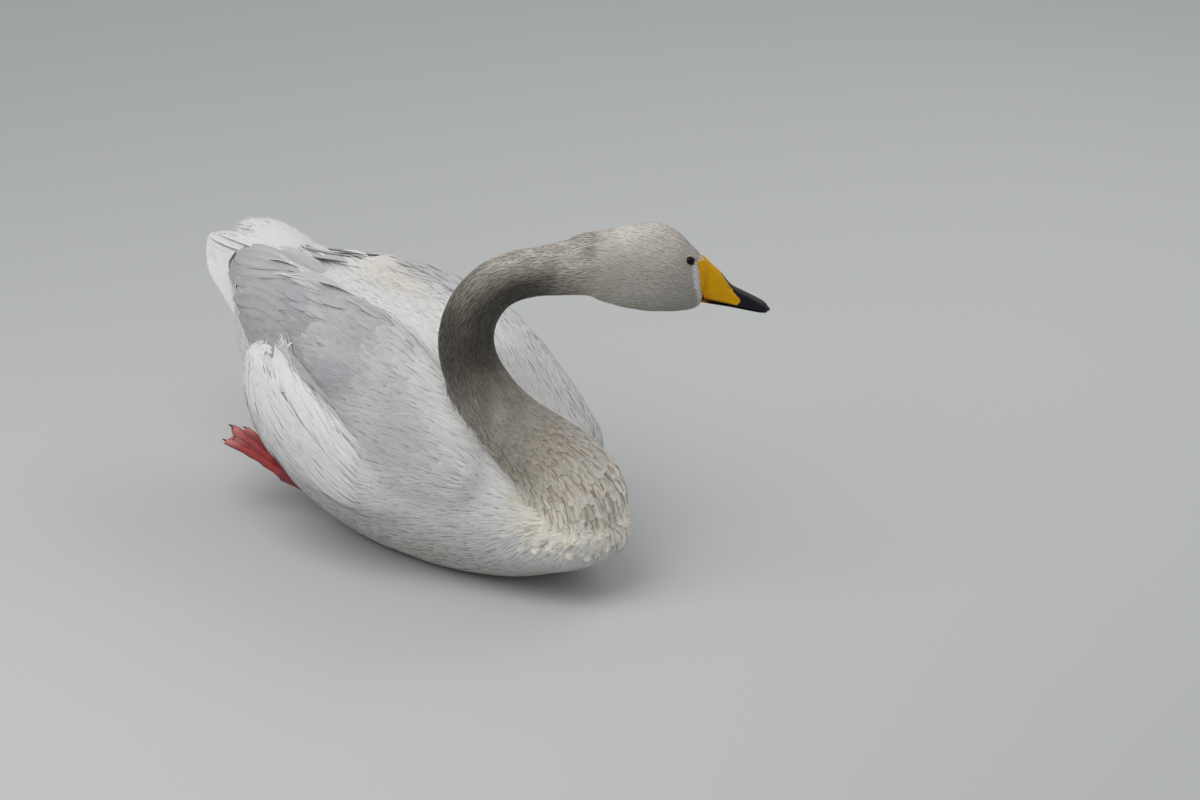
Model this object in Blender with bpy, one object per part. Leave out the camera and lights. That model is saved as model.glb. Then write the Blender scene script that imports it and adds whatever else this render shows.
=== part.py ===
"""A whooper swan, life size, sitting on its belly as it floats, with the neck bent back and the head reached forward.

Metres, +Z up. The origin is on the floor under the middle of the belly, +X points to the breast and +Y to the
bird's left. Every piece is a loft: rings of points carried along a line, closed at both ends. Pieces that lie on
each other are cut by a copy of their neighbour that is grown by GAP, so none of them overlap.
"""

import math

import bmesh
import bpy
import numpy as np

# Driving dimensions
GAP = 0.00035  # clear space left between pieces that meet
FLOAT_LINE = 0.11  # height of the water line above the belly's lowest point, when afloat
NECK_FOOT = np.array([0.20, 0.0, FLOAT_LINE])  # where the neck's axis leaves the breast
HEAD_TURN = math.radians(50)  # the head looks this far to the bird's left
HEAD_PITCH = math.radians(17)  # the gape line dips this far below level
EYE_SPOT = (0.163, 0.034, 0.317)  # point between the eyes: forward, left and up from NECK_FOOT, in the head's plane
BILL_START = 0.030  # where the feathers end and the bill starts, in the middle of its height
BILL_TIP = 0.1245
GAPE_HEIGHT = -0.0510  # height of the line between the mandibles, from the eyes
GAPE_OPENING = 0.0006  # the upper mandible's edge stands this far below that line
FEATHER_SLANT = 0.010  # how far the bill's top reaches back over its bottom, where the feathers end
SLANT_END = 0.060  # the slant dies out here, along the head's axis
RIDGE_ROUNDNESS = 0.82  # power of the sine that shapes the bill's arch: below 1 it is fuller than a half ellipse
LOWER_BILL_WIDTH = 0.86  # width of the lower mandible as a share of the upper one's
LOWER_BILL_DEPTH = (0.0072, 0.0022)  # at its root and at its tip
CROWN_NARROWING = 0.17  # how much narrower the head is at the crown than in the middle, as a share
BROW_LEAN = 0.004  # how far the forehead leans back over the bill's root
EYE_RADIUS = 0.0068
EYE_AT = (0.0022, 0.0177, -0.0057)  # an eye's middle from EYE_SPOT: along the head's axis, to the side and up

# The trunk, from rump to breast: station X, half width, height of the back, height of the belly, widest level
TRUNK = np.array([
    [-0.335, 0.034, 0.281, 0.236, 0.258],
    [-0.310, 0.072, 0.289, 0.185, 0.240],
    [-0.262, 0.108, 0.297, 0.105, 0.200],
    [-0.210, 0.138, 0.302, 0.040, 0.165],
    [-0.120, 0.160, 0.304, -0.006, 0.145],
    [-0.030, 0.167, 0.302, -0.014, 0.130],
    [0.050, 0.156, 0.284, -0.014, 0.118],
    [0.110, 0.137, 0.240, -0.010, 0.100],
    [0.165, 0.115, 0.188, 0.002, 0.080],
    [0.215, 0.092, 0.146, 0.018, 0.068],
    [0.258, 0.071, 0.127, 0.036, 0.070],
    [0.283, 0.050, 0.113, 0.048, 0.074],
    [0.296, 0.026, 0.099, 0.062, 0.078],
])

# The neck's axis in the head's plane, from inside the breast to the nape: forward, left, up from NECK_FOOT, radius
NECK = np.array([
    [0.0240, -0.0110, -0.0400, 0.0420],
    [0.0186, -0.0124, 0.0030, 0.0700],
    [-0.0195, -0.0026, 0.0640, 0.0550],
    [-0.0596, 0.0073, 0.1035, 0.0435],
    [-0.0937, 0.0165, 0.1495, 0.0385],
    [-0.1133, 0.0270, 0.2000, 0.0360],
    [-0.1043, 0.0320, 0.2507, 0.0340],
    [-0.0714, 0.0340, 0.2865, 0.0320],
    [-0.0212, 0.0340, 0.2990, 0.0315],
    [0.0193, 0.0340, 0.3022, 0.0355],
])

# The head, from nape to bill: distance along its axis from the eyes, crown, throat, half width
HEAD = np.array([
    [-0.097, 0.0045, -0.0895, 0.0400],
    [-0.075, 0.0190, -0.0905, 0.0390],
    [-0.050, 0.0270, -0.0920, 0.0385],
    [-0.025, 0.0245, -0.0885, 0.0370],
    [0.000, 0.0115, -0.0825, 0.0320],
    [0.020, -0.0010, -0.0750, 0.0250],
    [0.032, -0.0080, -0.0660, 0.0195],
])

# The upper mandible: distance along the head's axis from the eyes, culmen height, half width
UPPER_BILL = np.array([
    [0.020, 0.0000, 0.0175],
    [0.038, -0.0115, 0.0175],
    [0.055, -0.0215, 0.0158],
    [0.075, -0.0325, 0.0143],
    [0.092, -0.0372, 0.0148],
    [0.108, -0.0415, 0.0148],
    [0.118, -0.0460, 0.0110],
    [0.1245, -0.0520, 0.0030],
])

# A folded wing, from wrist to tip: X, ridge Y and Z, lower edge Y and Z, thickness
WING = np.array([
    [0.158, 0.094, 0.172, 0.122, 0.128, 0.010],
    [0.125, 0.086, 0.211, 0.138, 0.120, 0.026],
    [0.080, 0.076, 0.260, 0.154, 0.124, 0.036],
    [0.030, 0.073, 0.300, 0.163, 0.136, 0.041],
    [-0.030, 0.071, 0.317, 0.164, 0.154, 0.043],
    [-0.100, 0.063, 0.324, 0.156, 0.176, 0.043],
    [-0.180, 0.045, 0.317, 0.140, 0.206, 0.040],
    [-0.240, 0.026, 0.310, 0.118, 0.226, 0.033],
    [-0.290, 0.012, 0.303, 0.090, 0.248, 0.023],
    [-0.345, 0.012, 0.296, 0.044, 0.276, 0.008],
])

LEFT_SHOULDER = 0.018  # the left wing's wrist is held this much further forward than the right one's
WING_LIFT = {"left": -0.004, "right": 0.006}  # the right wing is held a little higher than the left

# A flank plume lying over the wing's lower edge, from root to tip: X, Y, Z of its middle, half breadth, half thickness
FLANK = np.array([
    [0.070, 0.142, 0.096, 0.012, 0.008],
    [0.035, 0.154, 0.112, 0.036, 0.020],
    [-0.010, 0.162, 0.134, 0.052, 0.027],
    [-0.055, 0.165, 0.151, 0.062, 0.031],
    [-0.100, 0.162, 0.168, 0.067, 0.034],
    [-0.142, 0.153, 0.187, 0.062, 0.034],
    [-0.172, 0.146, 0.209, 0.046, 0.029],
    [-0.190, 0.146, 0.234, 0.024, 0.018],
    [-0.197, 0.147, 0.252, 0.004, 0.005],
])

# Tips of the fanned tail, from the outermost right feather to the outermost left: share of the fan, X, Y, Z
TAIL = np.array([
    [-1.00, -0.300, -0.085, 0.225],
    [-0.55, -0.347, -0.057, 0.283],
    [-0.15, -0.398, -0.022, 0.304],
    [0.40, -0.388, 0.045, 0.308],
    [0.70, -0.368, 0.080, 0.296],
    [1.00, -0.325, 0.110, 0.264],
])
TAIL_ROOT = (-0.200, 0.022, 0.286)  # X, half width and Z of the line that the tail feathers fan out from
TAIL_FEATHERS = 10
TAIL_DROOP = 0.030  # how much lower the outermost feathers start
TAIL_ARCH = 0.010  # height of each feather's own bow
TAIL_NOTCH = 0.045  # share of a feather's length that the notch beside its tip takes

HEEL = (-0.110, 0.088, 0.034)  # X, distance from the middle plane and Z, inside the belly
KNUCKLE = (-0.186, 0.104, 0.056)
TOE_TIP = (-0.260, 0.117, 0.111)
LEG_RADIUS = 0.0085
TOE_RADIUS = 0.0048
TOE_SPREAD = 14.0  # degrees from the middle toe to an outer one
WEB_THICK = 0.0024
WEB_SAG = 0.010  # how far the web hangs below the line of the toes at its edge

HEAD_AXES = np.array([
    [math.cos(HEAD_TURN) * math.cos(HEAD_PITCH), math.sin(HEAD_TURN) * math.cos(HEAD_PITCH), -math.sin(HEAD_PITCH)],
    [-math.sin(HEAD_TURN), math.cos(HEAD_TURN), 0.0],
    [math.cos(HEAD_TURN) * math.sin(HEAD_PITCH), math.sin(HEAD_TURN) * math.sin(HEAD_PITCH), math.cos(HEAD_PITCH)],
])

COLOURS = {
    "white_plumage": (0.80, 0.79, 0.77),
    "neck_plumage": (0.50, 0.47, 0.43),
    "head_plumage": (0.60, 0.57, 0.53),
    "bill_yellow": (0.80, 0.50, 0.02),
    "bill_black": (0.015, 0.015, 0.018),
    "eye": (0.015, 0.010, 0.008),
    "foot_skin": (0.45, 0.12, 0.11),
}


def curve_through(stations, values, at):
    """Reads smooth curves (monotone cubic) through values, one column for each curve, at the places at."""
    values = np.asarray(values, float).reshape(len(stations), -1)
    step = np.diff(stations)[:, None]
    slope = np.diff(values, axis=0) / step
    before, after = slope[:-1], slope[1:]
    same_way = before * after > 0
    safe = np.where(same_way, before * after, 1.0)
    tangent = np.zeros_like(values)
    tangent[1:-1] = np.where(same_way, 2 * safe / np.where(same_way, before + after, 1.0), 0.0)
    tangent[0], tangent[-1] = slope[0], slope[-1]
    at = np.asarray(at, float)
    i = np.clip(np.searchsorted(stations, at, side="right") - 1, 0, len(stations) - 2)
    t = ((at - np.asarray(stations)[i])[:, None]) / step[i]
    rise = values[i + 1] - values[i]
    cubic = (
        values[i]
        + tangent[i] * step[i] * t * (1 - t) ** 2
        + rise * t * t * (3 - 2 * t)
        - tangent[i + 1] * step[i] * t * t * (1 - t)
    )
    return cubic


def spaced(start, end, count, crowd_start=False, crowd_end=False):
    """Numbers from start to end, closer together at the ends that close over in a round cap."""
    t = np.linspace(0, 1, count)
    if crowd_start and crowd_end:
        t = (1 - np.cos(math.pi * t)) / 2
    elif crowd_end:
        t = np.sin(math.pi / 2 * t)
    elif crowd_start:
        t = 1 - np.cos(math.pi / 2 * t)
    return start + (end - start) * t


def material(name):
    made = bpy.data.materials.get(name)
    if made is None:
        made = bpy.data.materials.new(name)
        made.use_nodes = True
        shader = made.node_tree.nodes["Principled BSDF"]
        shader.inputs["Base Color"].default_value = (*COLOURS[name], 1.0)
        shader.inputs["Roughness"].default_value = 0.3 if name in ("eye", "bill_black", "bill_yellow") else 0.8
        shader.inputs["Metallic"].default_value = 0.0
    return made


def piece(name, points, faces, finish):
    """A closed mesh object of triangles, shaded smooth, with its normals pointing outwards."""
    mesh = bpy.data.meshes.new(name)
    mesh.from_pydata([tuple(p) for p in points], [], faces)
    made = bpy.data.objects.new(name, mesh)
    bpy.context.scene.collection.objects.link(made)
    work = bmesh.new()
    work.from_mesh(mesh)
    bmesh.ops.triangulate(work, faces=work.faces[:], quad_method="SHORT_EDGE")
    if work.calc_volume(signed=True) < 0:
        bmesh.ops.reverse_faces(work, faces=work.faces[:])
    work.to_mesh(mesh)
    work.free()
    mesh.shade_smooth()
    mesh.materials.append(material(finish))
    return made


def loft(name, rings, finish, start=None, end=None):
    """A closed surface through rings of points. Each end closes on a point: start and end, or the end ring's middle."""
    rings = np.asarray(rings, float)
    count, around, _ = rings.shape
    start = rings[0].mean(0) if start is None else start
    end = rings[-1].mean(0) if end is None else end
    points = np.concatenate([rings.reshape(-1, 3), [start], [end]])
    first, last = count * around, count * around + 1
    nxt = (np.arange(around) + 1) % around
    faces = []
    for i in range(count - 1):
        for j in range(around):
            faces.append((i * around + j, i * around + nxt[j], (i + 1) * around + nxt[j], (i + 1) * around + j))
    for j in range(around):
        faces.append((first, nxt[j], j))
        faces.append((last, (count - 1) * around + j, (count - 1) * around + nxt[j]))
    return piece(name, points, [tuple(int(k) for k in f) for f in faces], finish)


def grown(source, name, by):
    """A hidden copy of a piece, moved out by a small distance along its normals, for cutting its neighbours."""
    mesh = source.data.copy()
    moved = [v.co + v.normal * by for v in mesh.vertices]
    for vertex, place in zip(mesh.vertices, moved):
        vertex.co = place
    mesh.update()
    cutter = bpy.data.objects.new(name, mesh)
    bpy.context.scene.collection.objects.link(cutter)
    cutter.hide_render = True
    cutter.display_type = "WIRE"
    return cutter


def cut(target, cutter):
    modifier = target.modifiers.new("cut_" + cutter.name, "BOOLEAN")
    modifier.operation = "DIFFERENCE"
    modifier.solver = "EXACT"
    modifier.object = cutter


def round_section(count, power=2.0, phase=0.0):
    """Points round a superellipse of half sizes 1 as (across, up) pairs."""
    angle = np.linspace(0, 2 * math.pi, count, endpoint=False) + phase
    across, up = np.cos(angle), np.sin(angle)
    return (
        np.sign(across) * np.abs(across) ** (2 / power),
        np.sign(up) * np.abs(up) ** (2 / power),
    )


def trunk():
    """The body between the wings, flattened where the belly rests on the floor."""
    x = spaced(TRUNK[0, 0], TRUNK[-1, 0], 23, crowd_start=True, crowd_end=True)
    width, back, belly, level = curve_through(TRUNK[:, 0], TRUNK[:, 1:], x).T
    across, up = round_section(30, 2.2)
    y = across[None] * width[:, None]
    high = np.where(up > 0, (back - level)[:, None], (level - belly)[:, None])
    z = np.maximum(level[:, None] + up[None] * high, 0.0)
    rings = np.stack([np.repeat(x[:, None], len(across), 1), y, z], -1)
    ends = [(x[0] - 0.006, 0, level[0]), (x[-1] + 0.006, 0, level[-1])]
    return loft("trunk", rings, "white_plumage", *ends)


def to_head_plane(forward, left, up):
    """World places of points given forward, left and up from the neck's foot, in the head's plane."""
    c, s = math.cos(HEAD_TURN), math.sin(HEAD_TURN)
    return NECK_FOOT + np.stack([forward * c - left * s, forward * s + left * c, up], -1)


def from_head(along, left, up):
    """World places of points given along the head's axis from the eyes, to the bird's left and up from it."""
    eyes = to_head_plane(*[np.float64(v) for v in EYE_SPOT])
    return eyes + along[..., None] * HEAD_AXES[0] + left[..., None] * HEAD_AXES[1] + up[..., None] * HEAD_AXES[2]


def neck_axis():
    """The neck's axis and radius, carried on into the first stretch of the head so that the two run together."""
    nape = HEAD[0]
    middle = np.array([(nape[1] + nape[2]) / 2])
    joined = from_head(np.array([nape[0]]), np.zeros(1), middle)
    places = np.concatenate([to_head_plane(*NECK[:, :3].T), joined])
    radii = np.append(NECK[:, 3], (nape[1] - nape[2]) / 2)
    length = np.concatenate([[0], np.cumsum(np.linalg.norm(np.diff(places, axis=0), axis=1))])
    return length, places, radii


def bent_through(length, places, at, last_way):
    """A spline with continuous bend through places, leaving the last one in the direction last_way."""
    count = len(length)
    step = np.diff(length)
    matrix, right = np.zeros((count, count)), np.zeros((count, 3))
    matrix[0, 0] = 1.0
    right[0] = (places[1] - places[0]) / step[0]
    for i in range(1, count - 1):
        matrix[i, i - 1], matrix[i, i + 1] = step[i], step[i - 1]
        matrix[i, i] = 2 * (step[i - 1] + step[i])
        left_slope = (places[i] - places[i - 1]) / step[i - 1]
        right_slope = (places[i + 1] - places[i]) / step[i]
        right[i] = 3 * (step[i] * left_slope + step[i - 1] * right_slope)
    matrix[-1, -1] = 1.0
    right[-1] = last_way
    ways = np.linalg.solve(matrix, right)
    i = np.clip(np.searchsorted(length, at, side="right") - 1, 0, count - 2)
    t = ((at - length[i]) / step[i])[:, None]
    h = step[i][:, None]
    place = (
        places[i] * (1 + 2 * t) * (1 - t) ** 2
        + ways[i] * h * t * (1 - t) ** 2
        + places[i + 1] * t * t * (3 - 2 * t)
        - ways[i + 1] * h * t * t * (1 - t)
    )
    way = (
        6 * t * (t - 1) * (places[i] - places[i + 1]) / h
        + ways[i] * (1 - t) * (1 - 3 * t)
        + ways[i + 1] * t * (3 * t - 2)
    )
    return place, way / np.linalg.norm(way, axis=1, keepdims=True)


def neck():
    """The neck in five lengths, each a tube closed by flat ends that face the next length across a thin gap."""
    length, places, radii = neck_axis()
    cuts = length[[0, 2, 4, 6, 8, -1]]
    names = ["neck_base", "neck_lower", "neck_middle", "neck_bend", "neck_upper"]
    counts = [9, 7, 7, 8, 5]
    across, up = round_section(22)
    made = []
    for name, low, high, count in zip(names, cuts[:-1], cuts[1:], counts):
        at = np.linspace(low + GAP / 2, high - GAP / 2, count)
        place, way = bent_through(length, places, at, HEAD_AXES[0])
        radius = curve_through(length, radii, at)[:, 0]
        side = HEAD_AXES[1] - way * (way @ HEAD_AXES[1])[:, None]
        side /= np.linalg.norm(side, axis=1, keepdims=True)
        over = np.cross(way, side)
        share = np.clip((at - length[-3]) / (length[-1] - length[-3]), 0, 1)
        wide = radius * (1 - share) + HEAD[0, 3] * share
        rings = (
            place[:, None]
            + side[:, None] * (across[None] * wide[:, None])[..., None]
            + over[:, None] * (up[None] * radius[:, None])[..., None]
        )
        made.append(loft(name, rings, "neck_plumage"))
    return made


def head():
    """Crown, cheeks and throat, egg shaped in section with the narrow end up."""
    along = np.linspace(HEAD[0, 0] + GAP, HEAD[-1, 0] - GAP, 12)
    crown, throat, wide = curve_through(HEAD[:, 0], HEAD[:, 1:], along).T
    across, up = round_section(22, 2.1)
    middle, half = (crown + throat) / 2, (crown - throat) / 2
    narrowing = np.clip((along - HEAD[0, 0]) / 0.05, 0, 1) * CROWN_NARROWING
    left = across[None] * wide[:, None] * (1 - narrowing[:, None] * up[None])
    height = middle[:, None] + up[None] * half[:, None]
    lean = up[None] * BROW_LEAN * np.clip(along[:, None] / BILL_START, 0, 1)
    rings = from_head(along[:, None] - lean, left, height)
    return loft("head", rings, "head_plumage")


def bill_section(half_width, culmen, gape, power):
    """One ring of the upper mandible: an arch over a flat underside, as (left, up) pairs."""
    angle = np.linspace(0, math.pi, 11)
    left = np.cos(angle) * half_width
    up = gape + np.sin(angle) ** power * (culmen - gape)
    under = np.linspace(-1, 1, 5)[1:-1]
    return np.append(left, under * half_width), np.append(up, np.full(len(under), gape))


def bill_upper():
    along = spaced(BILL_START + GAP, BILL_TIP, 13, crowd_end=True)
    culmen, half = curve_through(UPPER_BILL[:, 0], UPPER_BILL[:, 1:], along).T
    rings = []
    for x, top, wide in zip(along, culmen, half):
        left, up = bill_section(wide, top, GAPE_HEIGHT - GAPE_OPENING, RIDGE_ROUNDNESS)
        slant = np.clip((SLANT_END - x) / (SLANT_END - BILL_START), 0, 1)
        back = FEATHER_SLANT * slant * (up - (top + GAPE_HEIGHT) / 2) / (top - GAPE_HEIGHT)
        rings.append(from_head(x - back, left, up))
    return loft("bill_upper", rings, "bill_yellow")


def bill_lower():
    along = spaced(BILL_START + 0.004, BILL_TIP - 0.004, 11, crowd_end=True)
    half = curve_through(UPPER_BILL[:, 0], UPPER_BILL[:, 2], along)[:, 0] * LOWER_BILL_WIDTH
    deep = np.interp(along, [along[0], along[-1]], LOWER_BILL_DEPTH)
    across, up = round_section(12)
    height = GAPE_HEIGHT - GAPE_OPENING - GAP
    rings = from_head(
        np.repeat(along[:, None], len(across), 1),
        across[None] * half[:, None],
        height - deep[:, None] * (1 - up[None]) / 2,
    )
    return loft("bill_lower", rings, "bill_black")


def eye(name, sign):
    """An eyeball, set so that about a quarter of it stands out of the head."""
    centre = from_head(np.array(EYE_AT[0]), np.array(sign * EYE_AT[1]), np.array(EYE_AT[2]))
    rows, around = 7, 12
    rings = []
    for k in range(1, rows):
        polar = math.pi * k / rows
        turn = np.linspace(0, 2 * math.pi, around, endpoint=False)
        ball = np.stack([
            np.sin(polar) * np.cos(turn),
            np.full(around, np.cos(polar) * sign),
            np.sin(polar) * np.sin(turn),
        ], -1)
        rings.append(centre + (ball * EYE_RADIUS) @ HEAD_AXES)
    pole = HEAD_AXES[1] * EYE_RADIUS * sign
    return loft(name, rings, "eye", centre + pole, centre - pole)


def wing(name, sign):
    """A folded wing: crescent sections between the ridge by the back and the lower edge on the flank."""
    x = spaced(WING[0, 0], WING[-1, 0], 18, crowd_start=True, crowd_end=True)
    order = np.argsort(WING[:, 0])
    lift = WING_LIFT["left" if sign > 0 else "right"]
    forward = LEFT_SHOULDER * np.clip((x - 0.07) / 0.08, 0, 1) if sign > 0 else np.zeros(len(x))
    ridge_y, ridge_z, low_y, low_z, thick = curve_through(WING[order, 0], WING[order, 1:], x).T
    angle = np.linspace(0, 2 * math.pi, 18, endpoint=False)
    middle = np.stack([(ridge_y + low_y) / 2, (ridge_z + low_z) / 2], -1)
    long_way = np.stack([low_y - ridge_y, low_z - ridge_z], -1) / 2
    out = np.stack([-long_way[:, 1], long_way[:, 0]], -1)
    out /= np.linalg.norm(out, axis=1, keepdims=True)
    yz = (
        middle[:, None]
        + long_way[:, None] * np.cos(angle)[None, :, None]
        + out[:, None] * (np.sin(angle)[None] * thick[:, None] - 0.15 * thick[:, None])[..., None]
    )
    rings = np.stack([np.repeat((x + forward)[:, None], len(angle), 1), sign * yz[..., 0], yz[..., 1] + lift], -1)
    return loft(name, rings, "white_plumage")


def flank(name, sign):
    """The long flank feathers as one leaf that rises over the wing's lower edge."""
    step = np.linalg.norm(np.diff(FLANK[:, :3], axis=0), axis=1)
    length = np.concatenate([[0], np.cumsum(step)])
    at = spaced(0, length[-1], 13, crowd_start=True, crowd_end=True)
    data = curve_through(length, FLANK, at)
    place = data[:, :3]
    way = np.gradient(place, axis=0)
    way /= np.linalg.norm(way, axis=1, keepdims=True)
    out = np.array([0.0, 1.0, 0.10]) / math.hypot(1.0, 0.10)
    out = out - way * (way @ out)[:, None]
    out /= np.linalg.norm(out, axis=1, keepdims=True)
    breadth = np.cross(way, out)
    across, up = round_section(12, 2.2)
    rings = (
        place[:, None]
        + breadth[:, None] * (across[None] * data[:, 3][:, None])[..., None]
        + out[:, None] * (up[None] * data[:, 4][:, None])[..., None]
    )
    rings[..., 1] *= sign
    return loft(name, rings, "white_plumage")


def tail():
    """The tail feathers as one fan, arched like a low roof, with a scalloped end."""
    share = np.linspace(-1, 1, TAIL_FEATHERS * 2 + 1)
    tips = curve_through(TAIL[:, 0], TAIL[:, 1:], share)
    roots = np.stack([np.full(len(share), TAIL_ROOT[0]), share * TAIL_ROOT[1], np.full(len(share), TAIL_ROOT[2])], -1)
    roots[:, 2] -= TAIL_DROOP * share**2
    scallop = TAIL_NOTCH * (np.arange(len(share)) % 2 == 0)
    radial = np.array([0.25, 0.5, 0.7, 0.86, 0.95, 1.0])
    thick = np.array([0.020, 0.016, 0.011, 0.007, 0.004, 0.0016])
    r = radial[:, None] * (1 - scallop[None])
    middle = roots[None] + (tips - roots)[None] * r[..., None]
    middle[..., 2] += TAIL_ARCH * np.sin(math.pi * radial)[:, None]
    top, under = middle.copy(), middle.copy()
    top[..., 2] += thick[:, None] / 2
    under[..., 2] -= thick[:, None] / 2
    rings = np.concatenate([top, under[:, ::-1]], axis=1)
    return loft_sheet("tail", rings, "white_plumage")


def loft_sheet(name, rings, finish):
    """A closed slab whose rings run along the top and back along the underside, so its ends are strips of quads."""
    count, around, _ = rings.shape
    half = around // 2
    faces = []
    for i in range(count - 1):
        for j in range(around):
            k = (j + 1) % around
            faces.append((i * around + j, i * around + k, (i + 1) * around + k, (i + 1) * around + j))
    for i, flip in ((0, False), (count - 1, True)):
        for j in range(half - 1):
            quad = (i * around + j, i * around + around - 1 - j, i * around + around - 2 - j, i * around + j + 1)
            faces.append(quad[::-1] if flip else quad)
    return piece(name, rings.reshape(-1, 3), faces, finish)


def foot(side, sign):
    """A leg drawn back under the belly and its webbed foot, half closed, held against the stern."""
    heel = np.array([HEEL[0], sign * HEEL[1], HEEL[2]])
    knuckle = np.array([KNUCKLE[0], sign * KNUCKLE[1], KNUCKLE[2]])
    way = (knuckle - heel) / np.linalg.norm(knuckle - heel)
    out = np.cross(way, [0, 0, 1.0])
    out /= np.linalg.norm(out)
    over = np.cross(out, way)
    across, up = round_section(12)
    share = np.linspace(0, 1, 6)
    radius = LEG_RADIUS * (1 - 0.25 * np.sin(math.pi * share))
    middle = heel + (knuckle - heel) * share[:, None]
    rings = (
        middle[:, None]
        + out * (across[None] * radius[:, None])[..., None]
        + over * (up[None] * radius[:, None] * 1.2)[..., None]
    )
    leg = loft("leg_" + side, rings, "foot_skin")
    toe = np.array([TOE_TIP[0], sign * TOE_TIP[1], TOE_TIP[2]]) - knuckle
    length = np.linalg.norm(toe)
    toe /= length
    out = np.cross(toe, [0, 0, 1.0])
    out /= np.linalg.norm(out)
    over = np.cross(out, toe)
    angle = np.radians(np.linspace(-TOE_SPREAD, TOE_SPREAD, 15))
    fan = np.abs(angle) / angle[-1]
    reach = length * (1 - 0.10 * fan**2 - 0.10 * np.sin(math.pi * fan) ** 2)
    radial = np.array([0.04, 0.25, 0.5, 0.75, 0.92, 1.0])
    r = radial[:, None] * reach[None]
    ridge = sum(np.exp(-(((angle - a)[None] * r) / TOE_RADIUS) ** 2) for a in (angle[1], 0.0, angle[-2]))
    high = WEB_THICK / 2 + TOE_RADIUS * np.clip(ridge, 0, 1) * (1.0 - 0.5 * radial[:, None])
    base = knuckle + toe * 0.006
    flat = (
        base
        + toe * (r * np.cos(angle)[None])[..., None]
        + out * (r * np.sin(angle)[None])[..., None]
        - over * (WEB_SAG * radial[:, None] ** 2 * (1 + 0.6 * fan[None] ** 2))[..., None]
    )
    top = flat + over * high[..., None]
    under = flat - over * high[..., None]
    web = loft_sheet("foot_" + side, np.concatenate([top, under[:, ::-1]], axis=1), "foot_skin")
    return leg, web


def clear_scene():
    for old in list(bpy.data.objects):
        bpy.data.objects.remove(old, do_unlink=True)


def main():
    clear_scene()
    body = trunk()
    body_cutter = grown(body, "cut_trunk", GAP)
    lengths = neck()
    for part_of_neck in lengths[:3]:
        cut(part_of_neck, body_cutter)
    neck_cutters = [grown(part_of_neck, "cut_" + part_of_neck.name, GAP) for part_of_neck in lengths[1:3]]
    skull = head()
    skull_cutter = grown(skull, "cut_head", GAP)
    for mandible in (bill_upper(), bill_lower()):
        cut(mandible, skull_cutter)
    fan = tail()
    cut(fan, body_cutter)
    for side, sign in (("left", 1), ("right", -1)):
        ball = eye("eye_" + side, sign)
        cut(skull, grown(ball, "cut_eye_" + side, GAP))
        folded = wing("wing_" + side, sign)
        plume = flank("flank_" + side, sign)
        cut(folded, body_cutter)
        cut(folded, grown(plume, "cut_flank_" + side, GAP))
        cut(plume, body_cutter)
        if side == "right":
            for cutter in neck_cutters:
                cut(folded, cutter)
        cut(fan, grown(folded, "cut_wing_" + side, GAP))
        leg, web = foot(side, sign)
        cut(leg, body_cutter)
        cut(leg, grown(web, "cut_foot_" + side, GAP))
        cut(web, body_cutter)


main()
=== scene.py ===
"""The looks of a whooper swan afloat: one skin, a coat of feathers laid over it, tail, bill, eyes and feet.

Metres, +Z up, +X to the breast, +Y to the bird's left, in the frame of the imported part. Feathers are thin
closed vanes and locks. Each has a spine that starts at a root on the skin and runs along the lie of the coat.
"""

import math

import bmesh
import bpy
import numpy as np
from mathutils import Matrix, Vector
from mathutils.bvhtree import BVHTree


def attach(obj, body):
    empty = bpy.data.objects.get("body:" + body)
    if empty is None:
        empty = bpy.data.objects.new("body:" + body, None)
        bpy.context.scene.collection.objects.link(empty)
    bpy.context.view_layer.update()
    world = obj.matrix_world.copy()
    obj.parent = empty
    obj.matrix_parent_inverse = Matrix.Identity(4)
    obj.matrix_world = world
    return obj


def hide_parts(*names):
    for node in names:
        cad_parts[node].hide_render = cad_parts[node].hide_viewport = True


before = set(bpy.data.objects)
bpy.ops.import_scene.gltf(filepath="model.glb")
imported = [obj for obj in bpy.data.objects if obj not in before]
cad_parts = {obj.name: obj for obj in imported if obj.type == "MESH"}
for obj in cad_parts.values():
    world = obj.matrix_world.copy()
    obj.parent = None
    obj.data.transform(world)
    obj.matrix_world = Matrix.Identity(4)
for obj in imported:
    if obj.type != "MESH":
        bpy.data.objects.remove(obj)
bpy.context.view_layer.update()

SEED = 11

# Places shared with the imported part
NECK_FOOT = np.array([0.20, 0.0, 0.11])
HEAD_TURN = math.radians(50)
HEAD_PITCH = math.radians(17)
EYE_SPOT = (0.163, 0.034, 0.317)
EYE_AT = (0.0022, 0.0177, -0.0057)  # eye's middle in the head: along the head's axis, to the side, up
EYE_RADIUS = 0.0068
ORBIT = (0.0135, 0.0108, 0.0110)  # half sizes of the skull's round rise under an eye: along, to the side, up
ORBIT_RISE = 0.0035  # from the eye's middle to the top of that rise
BILL_TIP = 0.1245
GAPE_HEIGHT = -0.0510

FLESH = [
    "trunk", "neck_base", "neck_lower", "neck_middle", "neck_bend", "neck_upper", "head",
    "wing_left", "wing_right", "flank_left", "flank_right",
]
TRUNK, HEAD = FLESH.index("trunk"), FLESH.index("head")
NECKS = [i for i, name in enumerate(FLESH) if name.startswith("neck")]
WINGS = [i for i, name in enumerate(FLESH) if name.startswith("wing")]
FLANKS = [i for i, name in enumerate(FLESH) if name.startswith("flank")]
SKIN_GRID = 0.0034  # cell of the grid on which the flesh is joined in one skin

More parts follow.
